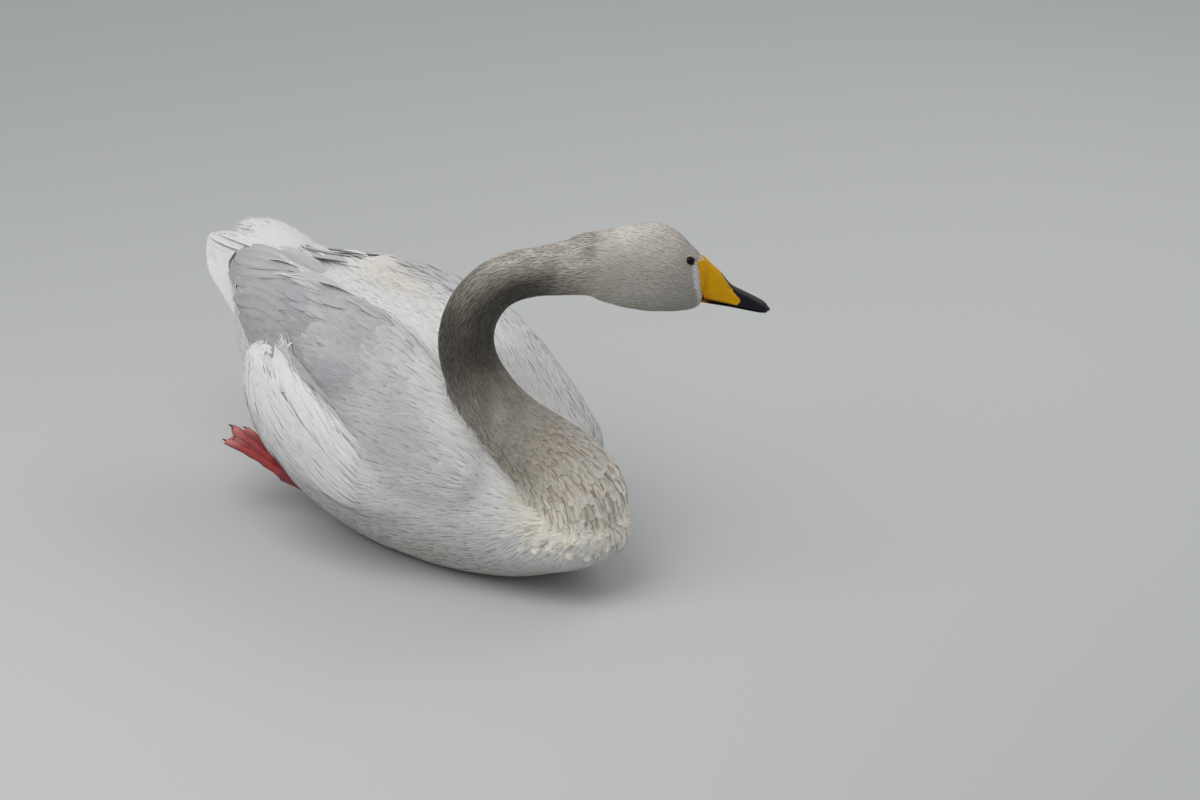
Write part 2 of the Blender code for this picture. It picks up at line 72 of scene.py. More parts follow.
# The neck's axis in the head's plane: forward, left, up from its foot, radius
NECK = np.array([
    [0.0240, -0.0110, -0.0400, 0.0420],
    [0.0186, -0.0124, 0.0030, 0.0700],
    [-0.0195, -0.0026, 0.0640, 0.0550],
    [-0.0596, 0.0073, 0.1035, 0.0435],
    [-0.0937, 0.0165, 0.1495, 0.0385],
    [-0.1133, 0.0270, 0.2000, 0.0360],
    [-0.1043, 0.0320, 0.2507, 0.0340],
    [-0.0714, 0.0340, 0.2865, 0.0320],
    [-0.0212, 0.0340, 0.2990, 0.0315],
    [0.0193, 0.0340, 0.3022, 0.0355],
])
NAPE = (-0.097, -0.0425, 0.0470)  # where the neck's axis meets the head: along, up from the eyes, half depth

# The upper mandible: distance along the head's axis from the eyes, culmen height, half width
UPPER_BILL = np.array([
    [0.020, 0.0000, 0.0175],
    [0.038, -0.0115, 0.0175],
    [0.055, -0.0215, 0.0158],
    [0.075, -0.0325, 0.0143],
    [0.092, -0.0372, 0.0148],
    [0.108, -0.0415, 0.0148],
    [0.118, -0.0460, 0.0110],
    [0.1245, -0.0520, 0.0030],
])

# Where the bill's yellow ends in front: share of the height from gape to ridge, along
YELLOW_FRONT = np.array([
    [0.00, 0.076], [0.12, 0.080], [0.36, 0.082], [0.55, 0.080], [0.70, 0.074], [0.80, 0.069], [0.88, 0.069],
    [0.94, 0.062], [1.00, 0.049],
])

# Where the bare yellow skin ends behind, from gape to forehead: height above the eyes' level, along
BARE_EDGE = np.array([
    [-0.0510, 0.0370], [-0.0455, 0.0325], [-0.0310, 0.0245], [-0.0105, 0.0155], [-0.0065, 0.0125],
    [-0.0040, 0.0255], [0.0060, 0.0300],
])

# The same edge on the bill's own arch: share of the height from gape to ridge, along
BARE_BACK = np.array([
    [0.0, 0.0370], [0.20, 0.0300], [0.33, 0.0260], [0.49, 0.0205], [0.63, 0.0160], [0.70, 0.0125],
    [0.76, 0.0145], [0.89, 0.0200], [1.0, 0.0260],
])

# Upper edge of a flank, where its plume lies over the wing: X, Z
PLUME_EDGE = np.array([
    [-0.210, 0.257], [-0.190, 0.258], [-0.172, 0.255], [-0.142, 0.249], [-0.100, 0.235], [-0.055, 0.213],
    [-0.010, 0.186], [0.035, 0.148],
])

# Tips of the fanned tail, from the outermost right feather to the outermost left: share of the fan, X, Y, Z
TAIL = np.array([
    [-1.00, -0.300, -0.085, 0.225],
    [-0.55, -0.347, -0.057, 0.283],
    [-0.15, -0.398, -0.022, 0.304],
    [0.40, -0.388, 0.045, 0.308],
    [0.70, -0.368, 0.080, 0.296],
    [1.00, -0.325, 0.110, 0.264],
])
TAIL_ROOT = (-0.200, 0.022, 0.286)
TAIL_EDGE_ROOT = (-0.248, -0.082, 0.198)  # root of the outermost right feather
TAIL_FEATHERS = 20
TAIL_STATIONS = 16  # along each feather's spine
TAIL_HALF_WIDTH = 0.0165
TAIL_BARBS = 46  # frayed barbs at each feather's end

# Tertials, from the wing's ridge (0) down to its rear lower edge (1): share, X, distance from the middle, Z
TERTIAL_ROOTS = np.array([
    [0.0, -0.205, 0.036, 0.322], [0.25, -0.190, 0.075, 0.310], [0.5, -0.168, 0.105, 0.290],
    [0.75, -0.150, 0.128, 0.268], [1.0, -0.135, 0.142, 0.248],
])
TERTIAL_TIPS = np.array([
    [0.0, -0.345, 0.026, 0.296], [0.25, -0.330, 0.052, 0.280], [0.5, -0.300, 0.078, 0.264],
    [0.75, -0.268, 0.098, 0.248], [1.0, -0.232, 0.112, 0.236],
])
TERTIALS = 11  # on each wing

# A leg and foot: X, distance from the middle plane and Z
HEEL = (-0.110, 0.088, 0.034)
KNUCKLE = (-0.186, 0.104, 0.056)
TOE_TIP = (-0.260, 0.117, 0.111)
LEG_RADIUS = 0.0085
TOE_RADIUS = 0.0048
TOE_SPREAD = 14.0  # degrees from the middle toe to an outer one
WEB_THICK = 0.0024
FAN_COLUMNS = 61  # across a foot's fan
TOE_COLUMNS = (4, 30, 56)  # those that the toes run along

# Camera
VIEW_TURN = math.radians(43)  # round from the bird's right side
VIEW_TILT = math.radians(25)  # downwards
VIEW_DISTANCE = 8.333
VIEW_MIDDLE = (0.05, 0.125)  # middle of the view, right of and above the neck's foot

TURN_COS, TURN_SIN = math.cos(HEAD_TURN), math.sin(HEAD_TURN)
PITCH_COS, PITCH_SIN = math.cos(HEAD_PITCH), math.sin(HEAD_PITCH)
HEAD_AXES = np.array([  # along the head, to the bird's left, up
    [TURN_COS * PITCH_COS, TURN_SIN * PITCH_COS, -PITCH_SIN],
    [-TURN_SIN, TURN_COS, 0.0],
    [TURN_COS * PITCH_SIN, TURN_SIN * PITCH_SIN, PITCH_COS],
])


# ---- numbers and curves ----

def step(low, high, value):
    """A smooth step: 0 below low, 1 above high, 3t^2 - 2t^3 between. With low above high it falls instead."""
    t = np.clip((value - low) / (high - low), 0, 1)
    return t * t * (3 - 2 * t)


def bell(middle, width, value):
    """A bell curve: exp(-((value - middle) / width)^2)."""
    return np.exp(-((value - middle) / width) ** 2)


def pick(chosen, *arrays):
    """The chosen rows of each array."""
    return [array[chosen] for array in arrays]


def unit(ways):
    """Each way at a length of 1."""
    return ways / np.maximum(np.linalg.norm(ways, axis=-1, keepdims=True), 1e-9)


def curve_through(stations, values, at):
    """Reads smooth curves (monotone cubic) through values, one column for each curve, at the places at."""
    values = np.asarray(values, float).reshape(len(stations), -1)
    gap = np.diff(stations)[:, None]
    slope = np.diff(values, axis=0) / gap
    before, after = slope[:-1], slope[1:]
    same_way = before * after > 0
    safe = np.where(same_way, before * after, 1.0)
    tangent = np.zeros_like(values)
    tangent[1:-1] = np.where(same_way, 2 * safe / np.where(same_way, before + after, 1.0), 0.0)
    tangent[0], tangent[-1] = slope[0], slope[-1]
    at = np.asarray(at, float)
    i = np.clip(np.searchsorted(stations, at, side="right") - 1, 0, len(stations) - 2)
    t = ((at - np.asarray(stations)[i])[:, None]) / gap[i]
    rise = values[i + 1] - values[i]
    return (
        values[i]
        + tangent[i] * gap[i] * t * (1 - t) ** 2
        + rise * t * t * (3 - 2 * t)
        - tangent[i + 1] * gap[i] * t * t * (1 - t)
    )


def to_head_plane(forward, left, up):
    """World places of points given from the neck's foot, in axes turned level with the head."""
    ahead = forward * TURN_COS - left * TURN_SIN
    aside = forward * TURN_SIN + left * TURN_COS
    return NECK_FOOT + np.stack([ahead, aside, up], -1)


EYES = to_head_plane(*[np.float64(v) for v in EYE_SPOT])


def from_head(along, left, up):
    """World places of points given along the head's axis from the eyes, to the bird's left and up from it."""
    along, left, up = (part[..., None] for part in np.broadcast_arrays(along, left, up))
    return EYES + along * HEAD_AXES[0] + left * HEAD_AXES[1] + up * HEAD_AXES[2]


def in_head(places):
    """Along, left and up in the head's own axes."""
    return (places - EYES) @ HEAD_AXES.T


def head_share(places, behind, ahead, reach):
    """0 behind the head and 1 on it: a step along its axis, for the places within reach of the eyes."""
    head = in_head(places)
    return step(behind, ahead, head[:, 0]) * (np.linalg.norm(head, axis=1) < reach)


def neck_line(count=160):
    """Lengths, points, directions and radii along the neck's axis, from the breast to the nape.

    A cubic between stations, with each station's slope taken from its neighbours, read at even steps of chord
    length.
    """
    joined = from_head(NAPE[0], 0.0, NAPE[1])[None]
    places = np.concatenate([to_head_plane(*NECK[:, :3].T), joined])
    radii = np.append(NECK[:, 3], NAPE[2])
    length = np.concatenate([[0], np.cumsum(np.linalg.norm(np.diff(places, axis=0), axis=1))])
    ways = np.gradient(places, length, axis=0)
    ways[-1] = HEAD_AXES[0]
    at = np.linspace(0, length[-1], count)
    i = np.clip(np.searchsorted(length, at, side="right") - 1, 0, len(length) - 2)
    h = (length[i + 1] - length[i])[:, None]
    t = ((at - length[i])[:, None]) / h
    line = (
        places[i] * (1 + 2 * t) * (1 - t) ** 2
        + ways[i] * h * t * (1 - t) ** 2
        + places[i + 1] * t * t * (3 - 2 * t)
        - ways[i + 1] * h * t * t * (1 - t)
    )
    return at, line, unit(np.gradient(line, axis=0)), curve_through(length, radii, at)[:, 0]


NECK_AT, NECK_PLACES, NECK_WAYS, NECK_RADII = neck_line()


def on_neck(places):
    """For each place, the nearest station of the neck's axis and the distance from it in the neck's radii."""
    gap = np.linalg.norm(places[:, None] - NECK_PLACES[None, ::2], axis=-1)
    station = np.argmin(gap, axis=1) * 2
    return station, gap.min(axis=1) / NECK_RADII[station]


# ---- materials ----

def linear(code):
    """Linear RGB of an sRGB hex colour."""
    value = np.array([int(code[i:i + 2], 16) for i in (1, 3, 5)]) / 255
    return np.where(value <= 0.04045, value / 12.92, ((value + 0.055) / 1.055) ** 2.4)


def rgba(code):
    """The same colour with full opacity, for a shader's socket."""
    return (*[float(v) for v in linear(code)], 1.0)


def add(tree, kind, inputs=None, **settings):
    """Adds one node. Settings are its own properties; inputs gives its sockets a value or a link."""
    node = tree.nodes.new(kind)
    for name, value in settings.items():
        setattr(node, name, value)
    for key, value in (inputs or {}).items():
        if isinstance(value, bpy.types.NodeSocket):
            tree.links.new(value, node.inputs[key])
        else:
            node.inputs[key].default_value = value
    return node


def new_material(name):
    """An empty node tree with an output, ready for a shader."""
    made = bpy.data.materials.new(name)
    made.use_nodes = True
    made.node_tree.nodes.clear()
    return made, made.node_tree


def feather_keratin(name, streak_mm, across_mm, roughness, bump_mm):
    """Contour feather vane: keratin barbs lying side by side, soft and matt with a faint silky edge.

    Its colour is the coat's tint. Streaks run out along the barbs. Real barbs are 0.3 mm apart, which is too
    fine to show, so they are drawn as wide as across_mm.
    """
    made, tree = new_material(name)
    tint = add(tree, "ShaderNodeAttribute", attribute_name="tint")
    vane = add(tree, "ShaderNodeUVMap", uv_map="Vane")
    grain = add(tree, "ShaderNodeMapping", {"Vector": vane.outputs["UV"],
                                            "Scale": (1000 / across_mm, 1000 / streak_mm, 1.0)})
    barbs = add(tree, "ShaderNodeTexNoise", {"Vector": grain.outputs[0], "Scale": 1.0, "Detail": 2.0})
    shade = add(tree, "ShaderNodeMapRange", {"Value": barbs.outputs[0], "From Min": 0.3, "From Max": 0.7,
                                             "To Min": 0.90, "To Max": 1.04})
    colour = add(tree, "ShaderNodeVectorMath", {0: tint.outputs["Color"], 1: shade.outputs[0]},
                 operation="MULTIPLY")
    relief = add(tree, "ShaderNodeBump", {"Height": barbs.outputs[0], "Strength": 0.6,
                                          "Distance": bump_mm / 1000})
    shader = add(tree, "ShaderNodeBsdfPrincipled", {
        "Base Color": colour.outputs[0], "Roughness": roughness, "IOR": 1.55, "Normal": relief.outputs[0],
        "Sheen Weight": 0.25, "Sheen Roughness": 0.5, "Specular IOR Level": 0.25,
    })
    add(tree, "ShaderNodeOutputMaterial", {"Surface": shader.outputs[0]})
    return made


def down():
    """Skin under its down: matt and soft, in the coat's own colours, with tufts 2.5 mm wide as bump."""
    made, tree = new_material("down_covered_skin")
    tint = add(tree, "ShaderNodeAttribute", attribute_name="tint")
    place = add(tree, "ShaderNodeTexCoord")
    tufts = add(tree, "ShaderNodeTexNoise", {"Vector": place.outputs["Object"], "Scale": 1000 / 2.5,
                                             "Detail": 3.0})
    shade = add(tree, "ShaderNodeMapRange", {"Value": tufts.outputs[0], "To Min": 0.70, "To Max": 1.0})
    colour = add(tree, "ShaderNodeVectorMath", {0: tint.outputs["Color"], 1: shade.outputs[0]},
                 operation="MULTIPLY")
    relief = add(tree, "ShaderNodeBump", {"Height": tufts.outputs[0], "Strength": 0.5, "Distance": 0.001})
    shader = add(tree, "ShaderNodeBsdfPrincipled", {"Base Color": colour.outputs[0], "Roughness": 0.9,
                                                    "Normal": relief.outputs[0], "Specular IOR Level": 0.2})
    add(tree, "ShaderNodeOutputMaterial", {"Surface": shader.outputs[0]})
    return made


def bill_sheath():
    """Bill sheath: smooth horn with a satin shine, faintly pitted, paler where it is worn.

    Its colour is the tint. The mottling is 4.5 mm wide and the pits 1.1 mm.
    """
    made, tree = new_material("satin_bill_horn")
    tint = add(tree, "ShaderNodeAttribute", attribute_name="tint")
    place = add(tree, "ShaderNodeTexCoord")
    mottle = add(tree, "ShaderNodeTexNoise", {"Vector": place.outputs["Object"], "Scale": 220.0,
                                              "Detail": 4.0})
    shade = add(tree, "ShaderNodeMapRange", {"Value": mottle.outputs[0], "To Min": 0.80, "To Max": 1.15})
    colour = add(tree, "ShaderNodeVectorMath", {0: tint.outputs["Color"], 1: shade.outputs[0]},
                 operation="MULTIPLY")
    pits = add(tree, "ShaderNodeTexNoise", {"Vector": place.outputs["Object"], "Scale": 900.0, "Detail": 3.0})
    relief = add(tree, "ShaderNodeBump", {"Height": pits.outputs[0], "Strength": 0.35, "Distance": 0.0006})
    shader = add(tree, "ShaderNodeBsdfPrincipled", {
        "Base Color": colour.outputs[0], "Roughness": 0.36, "IOR": 1.54, "Normal": relief.outputs[0],
        "Specular IOR Level": 0.15,
    })
    add(tree, "ShaderNodeOutputMaterial", {"Surface": shader.outputs[0]})
    return made


def wet_eye():
    """Eyeball: dark brown iris round a black pupil under a wet cornea, so it is smooth and shines."""
    made, tree = new_material("wet_eyeball")
    tint = add(tree, "ShaderNodeAttribute", attribute_name="tint")
    shader = add(tree, "ShaderNodeBsdfPrincipled", {"Base Color": tint.outputs["Color"], "Roughness": 0.20,
                                                    "IOR": 1.38, "Specular IOR Level": 0.3})
    add(tree, "ShaderNodeOutputMaterial", {"Surface": shader.outputs[0]})
    return made


def foot_hide():
    """Foot skin: leathery scales about 2.2 mm wide over red flesh, damp, so it has a soft shine."""
    made, tree = new_material("scaled_foot_hide")
    tint = add(tree, "ShaderNodeAttribute", attribute_name="tint")
    place = add(tree, "ShaderNodeTexCoord")
    scales = add(tree, "ShaderNodeTexVoronoi", {"Vector": place.outputs["Object"], "Scale": 1000 / 2.2},
                 feature="DISTANCE_TO_EDGE")
    seam = add(tree, "ShaderNodeMapRange", {"Value": scales.outputs["Distance"], "From Max": 0.12,
                                            "To Min": 0.55, "To Max": 1.05})
    colour = add(tree, "ShaderNodeVectorMath", {0: tint.outputs["Color"], 1: seam.outputs[0]},
                 operation="MULTIPLY")
    relief = add(tree, "ShaderNodeBump", {"Height": seam.outputs[0], "Strength": 0.7, "Distance": 0.0006})
    shader = add(tree, "ShaderNodeBsdfPrincipled", {
        "Base Color": colour.outputs[0], "Roughness": 0.45, "IOR": 1.45, "Normal": relief.outputs[0],
    })
    add(tree, "ShaderNodeOutputMaterial", {"Surface": shader.outputs[0]})
    return made


def painted_floor():
    """Studio floor: matt pale grey paint, even, with a slight roller texture."""
    made, tree = new_material("matt_floor_paint")
    place = add(tree, "ShaderNodeTexCoord")
    roller = add(tree, "ShaderNodeTexNoise", {"Vector": place.outputs["Object"], "Scale": 60.0,
                                              "Detail": 3.0})
    relief = add(tree, "ShaderNodeBump", {"Height": roller.outputs[0], "Strength": 0.05, "Distance": 0.002})
    shader = add(tree, "ShaderNodeBsdfPrincipled", {"Base Color": rgba("#c4c6c4"), "Roughness": 0.8,
                                                    "Normal": relief.outputs[0]})
    add(tree, "ShaderNodeOutputMaterial", {"Surface": shader.outputs[0]})
    return made


# ---- meshes ----

def new_piece(name, points, faces, finish, tint, uvs=None, lean=None):
    """A smooth mesh object at the origin from whole arrays: points, faces of one size, colours, maps by name.

    Lean gives each point a direction that its shading normal is turned towards, so that a coat shades as one.
    On an underside the normal is turned the other way.
    """
    mesh = bpy.data.meshes.new(name)
    points = np.maximum(points, [-9, -9, 0.0003])  # the coat is pressed flat where the bird lies on the floor
    faces = np.asarray(faces, np.int32)
    sides = faces.shape[1]
    mesh.vertices.add(len(points))
    mesh.vertices.foreach_set("co", np.asarray(points, np.float32).ravel())
    mesh.loops.add(faces.size)
    mesh.loops.foreach_set("vertex_index", faces.ravel())
    mesh.polygons.add(len(faces))
    mesh.polygons.foreach_set("loop_start", np.arange(0, faces.size, sides, dtype=np.int32))
    mesh.update(calc_edges=True)
    mesh.validate()
    mesh.shade_smooth()
    put_tint(mesh, tint)
    for map_name, places in (uvs or {}).items():
        layer = mesh.uv_layers.new(name=map_name)
        layer.data.foreach_set("uv", np.asarray(places, np.float32)[faces.ravel()].ravel())
    made = bpy.data.objects.new(name, mesh)
    bpy.context.scene.collection.objects.link(made)
    mesh.materials.append(finish)
    if lean is not None:
        a, b, c = (np.asarray(points)[faces[:, k]] for k in range(3))
        outward = np.cross(b - a, c - a)
        side = np.sign((outward * lean[faces].sum(1)).sum(1) + 1e-20)[:, None, None]
        corners = unit(0.30 * vertex_normals(mesh)[faces] + side * lean[faces])
        mesh.normals_split_custom_set(corners.reshape(-1, 3))
    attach(made, "root")
    return made


def put_tint(mesh, tint):
    """Gives each point of a mesh its colour, as the attribute that the materials read."""
    colour = np.ones((len(mesh.vertices), 4), np.float32)
    colour[:, :3] = tint
    layer = mesh.attributes.new("tint", "FLOAT_COLOR", "POINT")
    layer.data.foreach_set("color", colour.ravel())


def ring_faces(rings, around):
    """Triangles of one closed tube of rings, with a point at each end after them. Rings run anticlockwise."""
    i = np.arange(rings - 1)[:, None] * around
    j = np.arange(around)[None]
    k = (j + 1) % around
    a, b, c, d = i + j, i + k, i + around + k, i + around + j
    sides = np.concatenate([np.stack([a, b, c], -1).reshape(-1, 3), np.stack([a, c, d], -1).reshape(-1, 3)])
    j, k = j[0], k[0]
    first = np.stack([np.full(around, rings * around), k, j], -1)
    last_ring = (rings - 1) * around
    last = np.stack([np.full(around, rings * around + 1), last_ring + j, last_ring + k], -1)
    return np.concatenate([sides, first, last])


def tube(name, rings, finish, tint, uvs=None):
    """A closed surface through rings of points, shape (rings, around, 3), each end closed on its middle."""
    count, around, _ = rings.shape
    points = np.concatenate([rings.reshape(-1, 3), rings[:1].mean(1), rings[-1:].mean(1)])
    tint = np.broadcast_to(tint, rings.shape)
    tints = np.concatenate([tint.reshape(-1, 3), tint[:1].mean(1), tint[-1:].mean(1)])
    return new_piece(name, points, ring_faces(count, around), finish, tints, uvs)


# ---- the skin ----

def merged_copy(name):
    """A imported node's points and triangles, loose corners merged, grown a little so that nodes overlap."""
    work = bmesh.new()
    work.from_mesh(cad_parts[name].data)
    bmesh.ops.remove_doubles(work, verts=work.verts[:], dist=1e-5)
    work.normal_update()
    points = np.array([v.co + v.normal * 0.0006 for v in work.verts])
    faces = np.array([[v.index for v in f.verts] for f in work.faces])
    work.free()
    return points, faces


def flesh_form():
    """All the flesh nodes in one list of points and triangles, with the node that each triangle came from."""
    points, faces, owner, count = [], [], [], 0
    for i, name in enumerate(FLESH):
        p, f = merged_copy(name)
        points.append(p)
        faces.append(f + count)
        owner.append(np.full(len(f), i))
        count += len(p)
    return np.concatenate(points), np.concatenate(faces), np.concatenate(owner)


def remeshed(points, faces, voxel):
    """One closed surface round overlapping ones, as quads on a grid of voxels."""
    mesh = bpy.data.meshes.new("flesh")
    mesh.from_pydata(points.tolist(), [], faces.tolist())
    holder = bpy.data.objects.new("flesh", mesh)
    bpy.context.scene.collection.objects.link(holder)
    modifier = holder.modifiers.new("one_skin", "REMESH")
    modifier.mode = "VOXEL"
    modifier.voxel_size = voxel
    made = bpy.data.meshes.new_from_object(holder.evaluated_get(bpy.context.evaluated_depsgraph_get()))
    bpy.data.objects.remove(holder)
    return made


def smoothed(points, edges, amount, times):
    """Laplacian smoothing: each point moves by its own amount towards its neighbours' mean, many times."""
    count = len(points)
    ends = np.concatenate([edges[:, 0], edges[:, 1]])
    others = np.concatenate([edges[:, 1], edges[:, 0]])
    share = np.bincount(ends, minlength=count)[:, None]
    for _ in range(times):
        total = np.stack([np.bincount(ends, points[others, k], count) for k in range(3)], -1)
        points = points + amount[:, None] * (total / share - points)
    return points


def coat_depth(places):
    """Thickness of the coat over the skin: least on the face, more on the neck, most on the body."""
    station, gap = on_neck(places)
    on_head = head_share(places, -0.10, -0.03, 0.15)
    neck = 1 - step(1.15, 1.7, gap)
    low = step(0.02, 0.12, NECK_AT[station])
    body = 0.0065 - 0.0035 * step(-0.26, -0.33, places[:, 0])
    body = body * (0.3 + 0.7 * step(0.004, 0.03, places[:, 2]))
    depth = body * (1 - neck) + neck * (0.0040 * (1 - low) + 0.0020 * low)
    face = step(-0.02, 0.02, in_head(places)[:, 0])
    return depth * (1 - on_head) + on_head * (0.0008 * (1 - face) + 0.0004 * face)


def vertex_normals(mesh):
    """The normal at each point of a mesh."""
    normals = np.zeros(len(mesh.vertices) * 3, np.float32)
    mesh.vertex_normals.foreach_get("vector", normals)
    return normals.reshape(-1, 3).astype(float)


def read_points(mesh):
    """A mesh's points as an array."""
    points = np.zeros(len(mesh.vertices) * 3, np.float32)
    mesh.vertices.foreach_get("co", points)
    return points.reshape(-1, 3).astype(float)


def write_points(mesh, points):
    """Moves a mesh's points."""
    mesh.vertices.foreach_set("co", points.astype(np.float32).ravel())
    mesh.update()


def sphere(rings, around):
    """Points of a unit sphere with its poles on Y, shape (rings - 2, around, 3), without the poles."""
    polar = np.linspace(0, math.pi, rings)[1:-1, None]
    turn = np.linspace(0, 2 * math.pi, around, endpoint=False)[None]
    ball = [np.sin(polar) * np.cos(turn), np.cos(polar) + 0 * turn, np.sin(polar) * np.sin(turn)]
    return np.stack(ball, -1)


def orbits():
    """The skull's round rises under the eyes: ellipsoids, as points and triangles, that close the sockets."""
    ball = np.concatenate([sphere(18, 24).reshape(-1, 3), [[0, 1, 0], [0, -1, 0]]]) * ORBIT
    side = np.array([0, EYE_AT[1] + ORBIT_RISE - ORBIT[1], 0])
    points = [from_head(EYE_AT[0], 0, EYE_AT[2]) + (ball + sign * side) @ HEAD_AXES for sign in (1, -1)]
    faces = ring_faces(16, 24)
    return np.concatenate(points), np.concatenate([faces, faces + len(ball)])


def make_skin(points, faces):
    """The skin: the flesh remeshed as one, its joins smoothed, then drawn in by the coat's depth."""
    rise, rise_faces = orbits()
    faces = np.concatenate([faces, rise_faces + len(points)])
    mesh = remeshed(np.concatenate([points, rise]), faces, SKIN_GRID)
    mesh.materials.clear()
    places = read_points(mesh)
    edges = np.zeros(len(mesh.edges) * 2, np.int32)
    mesh.edges.foreach_get("vertices", edges)
    edges = edges.reshape(-1, 2)
    places = smoothed(places, edges, 0.5 - 0.3 * head_share(places, -0.06, 0.0, 0.12), 12)
    shoulder = bell(0.125, 0.055, places[:, 0]) * step(1.05, 1.4, on_neck(places)[1])
    places = smoothed(places, edges, 0.6 * shoulder, 60)
    write_points(mesh, places)
    on_body = step(1.1, 1.5, on_neck(places)[1]) * step(0.06, 0.10, places[:, 2])
    long_way = places * [0.28, 1, 1]  # folds run lengthwise
    folds = 0.0011 * wobble(long_way, 0.009, 31) + 0.0005 * wobble(long_way, 0.004, 32)
    places = places + vertex_normals(mesh) * (folds * on_body - coat_depth(places))[:, None]
    places = smoothed(places, edges, np.full(len(places), 0.4), 3)
    write_points(mesh, places)
    mesh.shade_smooth()
    made = bpy.data.objects.new("skin", mesh)
    bpy.context.scene.collection.objects.link(made)
    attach(made, "root")
    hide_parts(*FLESH)
    return made


class Surface:
    """Answers which place of a surface is nearest to a point, or hit from one, and the normal there."""

    def __init__(self, points, faces, normals=None):
        self.faces = faces
        self.normals = normals
        self.tree = BVHTree.FromPolygons(points.tolist(), faces.tolist())

    def nearest(self, places):
        """Nearest places, with their normals, or with their faces where the surface has no normals."""
        found = [self.tree.find_nearest(p) for p in places.reshape(-1, 3).tolist()]
        place = np.array([f[0] for f in found])
        face = np.array([f[2] for f in found])
        if self.normals is None:
            return place, face
        return place, unit(self.normals[self.faces[face]].mean(1))

    def hit(self, origins, ways):
        """Places hit, and which of the rays hit at all."""
        found = [self.tree.ray_cast(o, w) for o, w in zip(origins.tolist(), ways.tolist())]
        landed = np.array([f[0] is not None for f in found])
        return np.array([f[0] for f in found if f[0] is not None]), landed


# ---- markings ----

WHITE = linear("#e0dfdd")
CREAM = linear("#dbd2c2")
# grey of the wings and shoulders: partly the young bird's own grey feathers, partly painted shade
SILVER_AND_SHADE = linear("#acadaf")
WING_SHADE = linear("#9a9a9a")
# grey of the tertials: partly the young bird's own grey, partly painted shade
TERTIAL_GREY_AND_SHADE = linear("#9b9a98")
NECK_PALE = linear("#bdb6ab")
NECK_GREY = linear("#a39c90")
# dark of the neck's bend: partly its own dusky grey, partly painted shade
NECK_DARK_AND_SHADE = linear("#4f4a41")
BASE_BUFF = linear("#ece6da")
BASE_BROWN = linear("#94836c")
CROWN = linear("#d3ccc2")
CHEEK = linear("#b4afa6")
BILL_STRIP = linear("#ebecf0")

BILL_YELLOW = linear("#dba000")
BILL_ORANGE = linear("#c06a1c")
BILL_BLACK = linear("#1a1a20")
GAPE_ORANGE = linear("#a8641f")
IRIS, PUPIL = linear("#170d07"), linear("#030202")
LID = linear("#191411")
TOE_RED, WEB_RED, WEB_EDGE = linear("#bf4a48"), linear("#8f3a3d"), linear("#d9928c")
CLAW = linear("#3a332e")


def wobble(places, scale, seed):
    """A smooth random field from -1 to 1: the mean of sines along random directions."""
    rng = np.random.default_rng(seed)
    ways = rng.normal(size=(6, 3)) / scale
    phase = rng.uniform(0, 2 * math.pi, 6)
    return np.sin(places @ ways.T + phase).mean(1) * 1.6


def mix(a, b, share):
    """From colour a to colour b, by each place's share."""
    return a * (1 - share[:, None]) + b * share[:, None]


def bare_edge(up):
    """How far back the bare skin at the bill's root reaches, at a height above the eyes' level."""
    return np.interp(up, BARE_EDGE[:, 0], BARE_EDGE[:, 1])


def white_marks(places):
    """White plumage: cream stains low down and in the back's hollow, grey wings, shoulders and tertials.

    The grey is partly the young bird's own and partly painted shade. Painted shade also lies in the hollow
    just above each plume's edge, and all of it is darker towards the bottom.
    """
    x, out, z = places[:, 0], np.abs(places[:, 1]), places[:, 2]
    over_plume = z - np.interp(x, PLUME_EDGE[:, 0], PLUME_EDGE[:, 1])
    stain = 0.5 * step(0.10, 0.02, z) * step(-0.6, 0.9, wobble(places, 0.016, 5))
    colour = mix(np.broadcast_to(WHITE, places.shape), CREAM, stain)
    hollow = bell(-0.105, 0.055, x) * bell(0.045, 0.030, places[:, 1])
    colour = mix(colour, CREAM, 0.5 * hollow * step(0.22, 0.25, z))
    # the wing's middle greyed: partly its own grey, partly painted shade of the wing's hollow
    wing = step(-0.33, -0.24, x) * step(0.10, -0.02, x) * step(0.145, 0.20, z)
    wing = wing * step(0.045, 0.085, out) * step(-0.006, 0.006, over_plume)
    cloud = 0.85 + 0.25 * wobble(places * [0.4, 1, 1], 0.014, 41)
    colour = mix(colour, SILVER_AND_SHADE, np.clip(wing * cloud, 0, 1))
    # the shoulders greyed the same way, partly painted shade; then all of it 22 % darker towards the bottom
    shoulder = step(0.02, 0.08, x) * step(0.09, 0.13, out) * step(0.12, 0.20, z)
    colour = mix(colour, SILVER_AND_SHADE, 0.7 * shoulder) * (1 - 0.22 * step(0.15, 0.05, z))[:, None]
    shaded = bell(0.022, 0.028, over_plume) * step(-0.006, 0.006, over_plume) * step(0.09, 0.12, out)
    shaded = shaded * step(-0.235, -0.200, x) * step(0.02, -0.06, x)
    colour = mix(colour, WING_SHADE, 0.75 * shaded)
    # the tertials greyed, partly painted shade
    return mix(colour, TERTIAL_GREY_AND_SHADE, 0.75 * step(-0.17, -0.29, x) * step(0.248, 0.27, z))


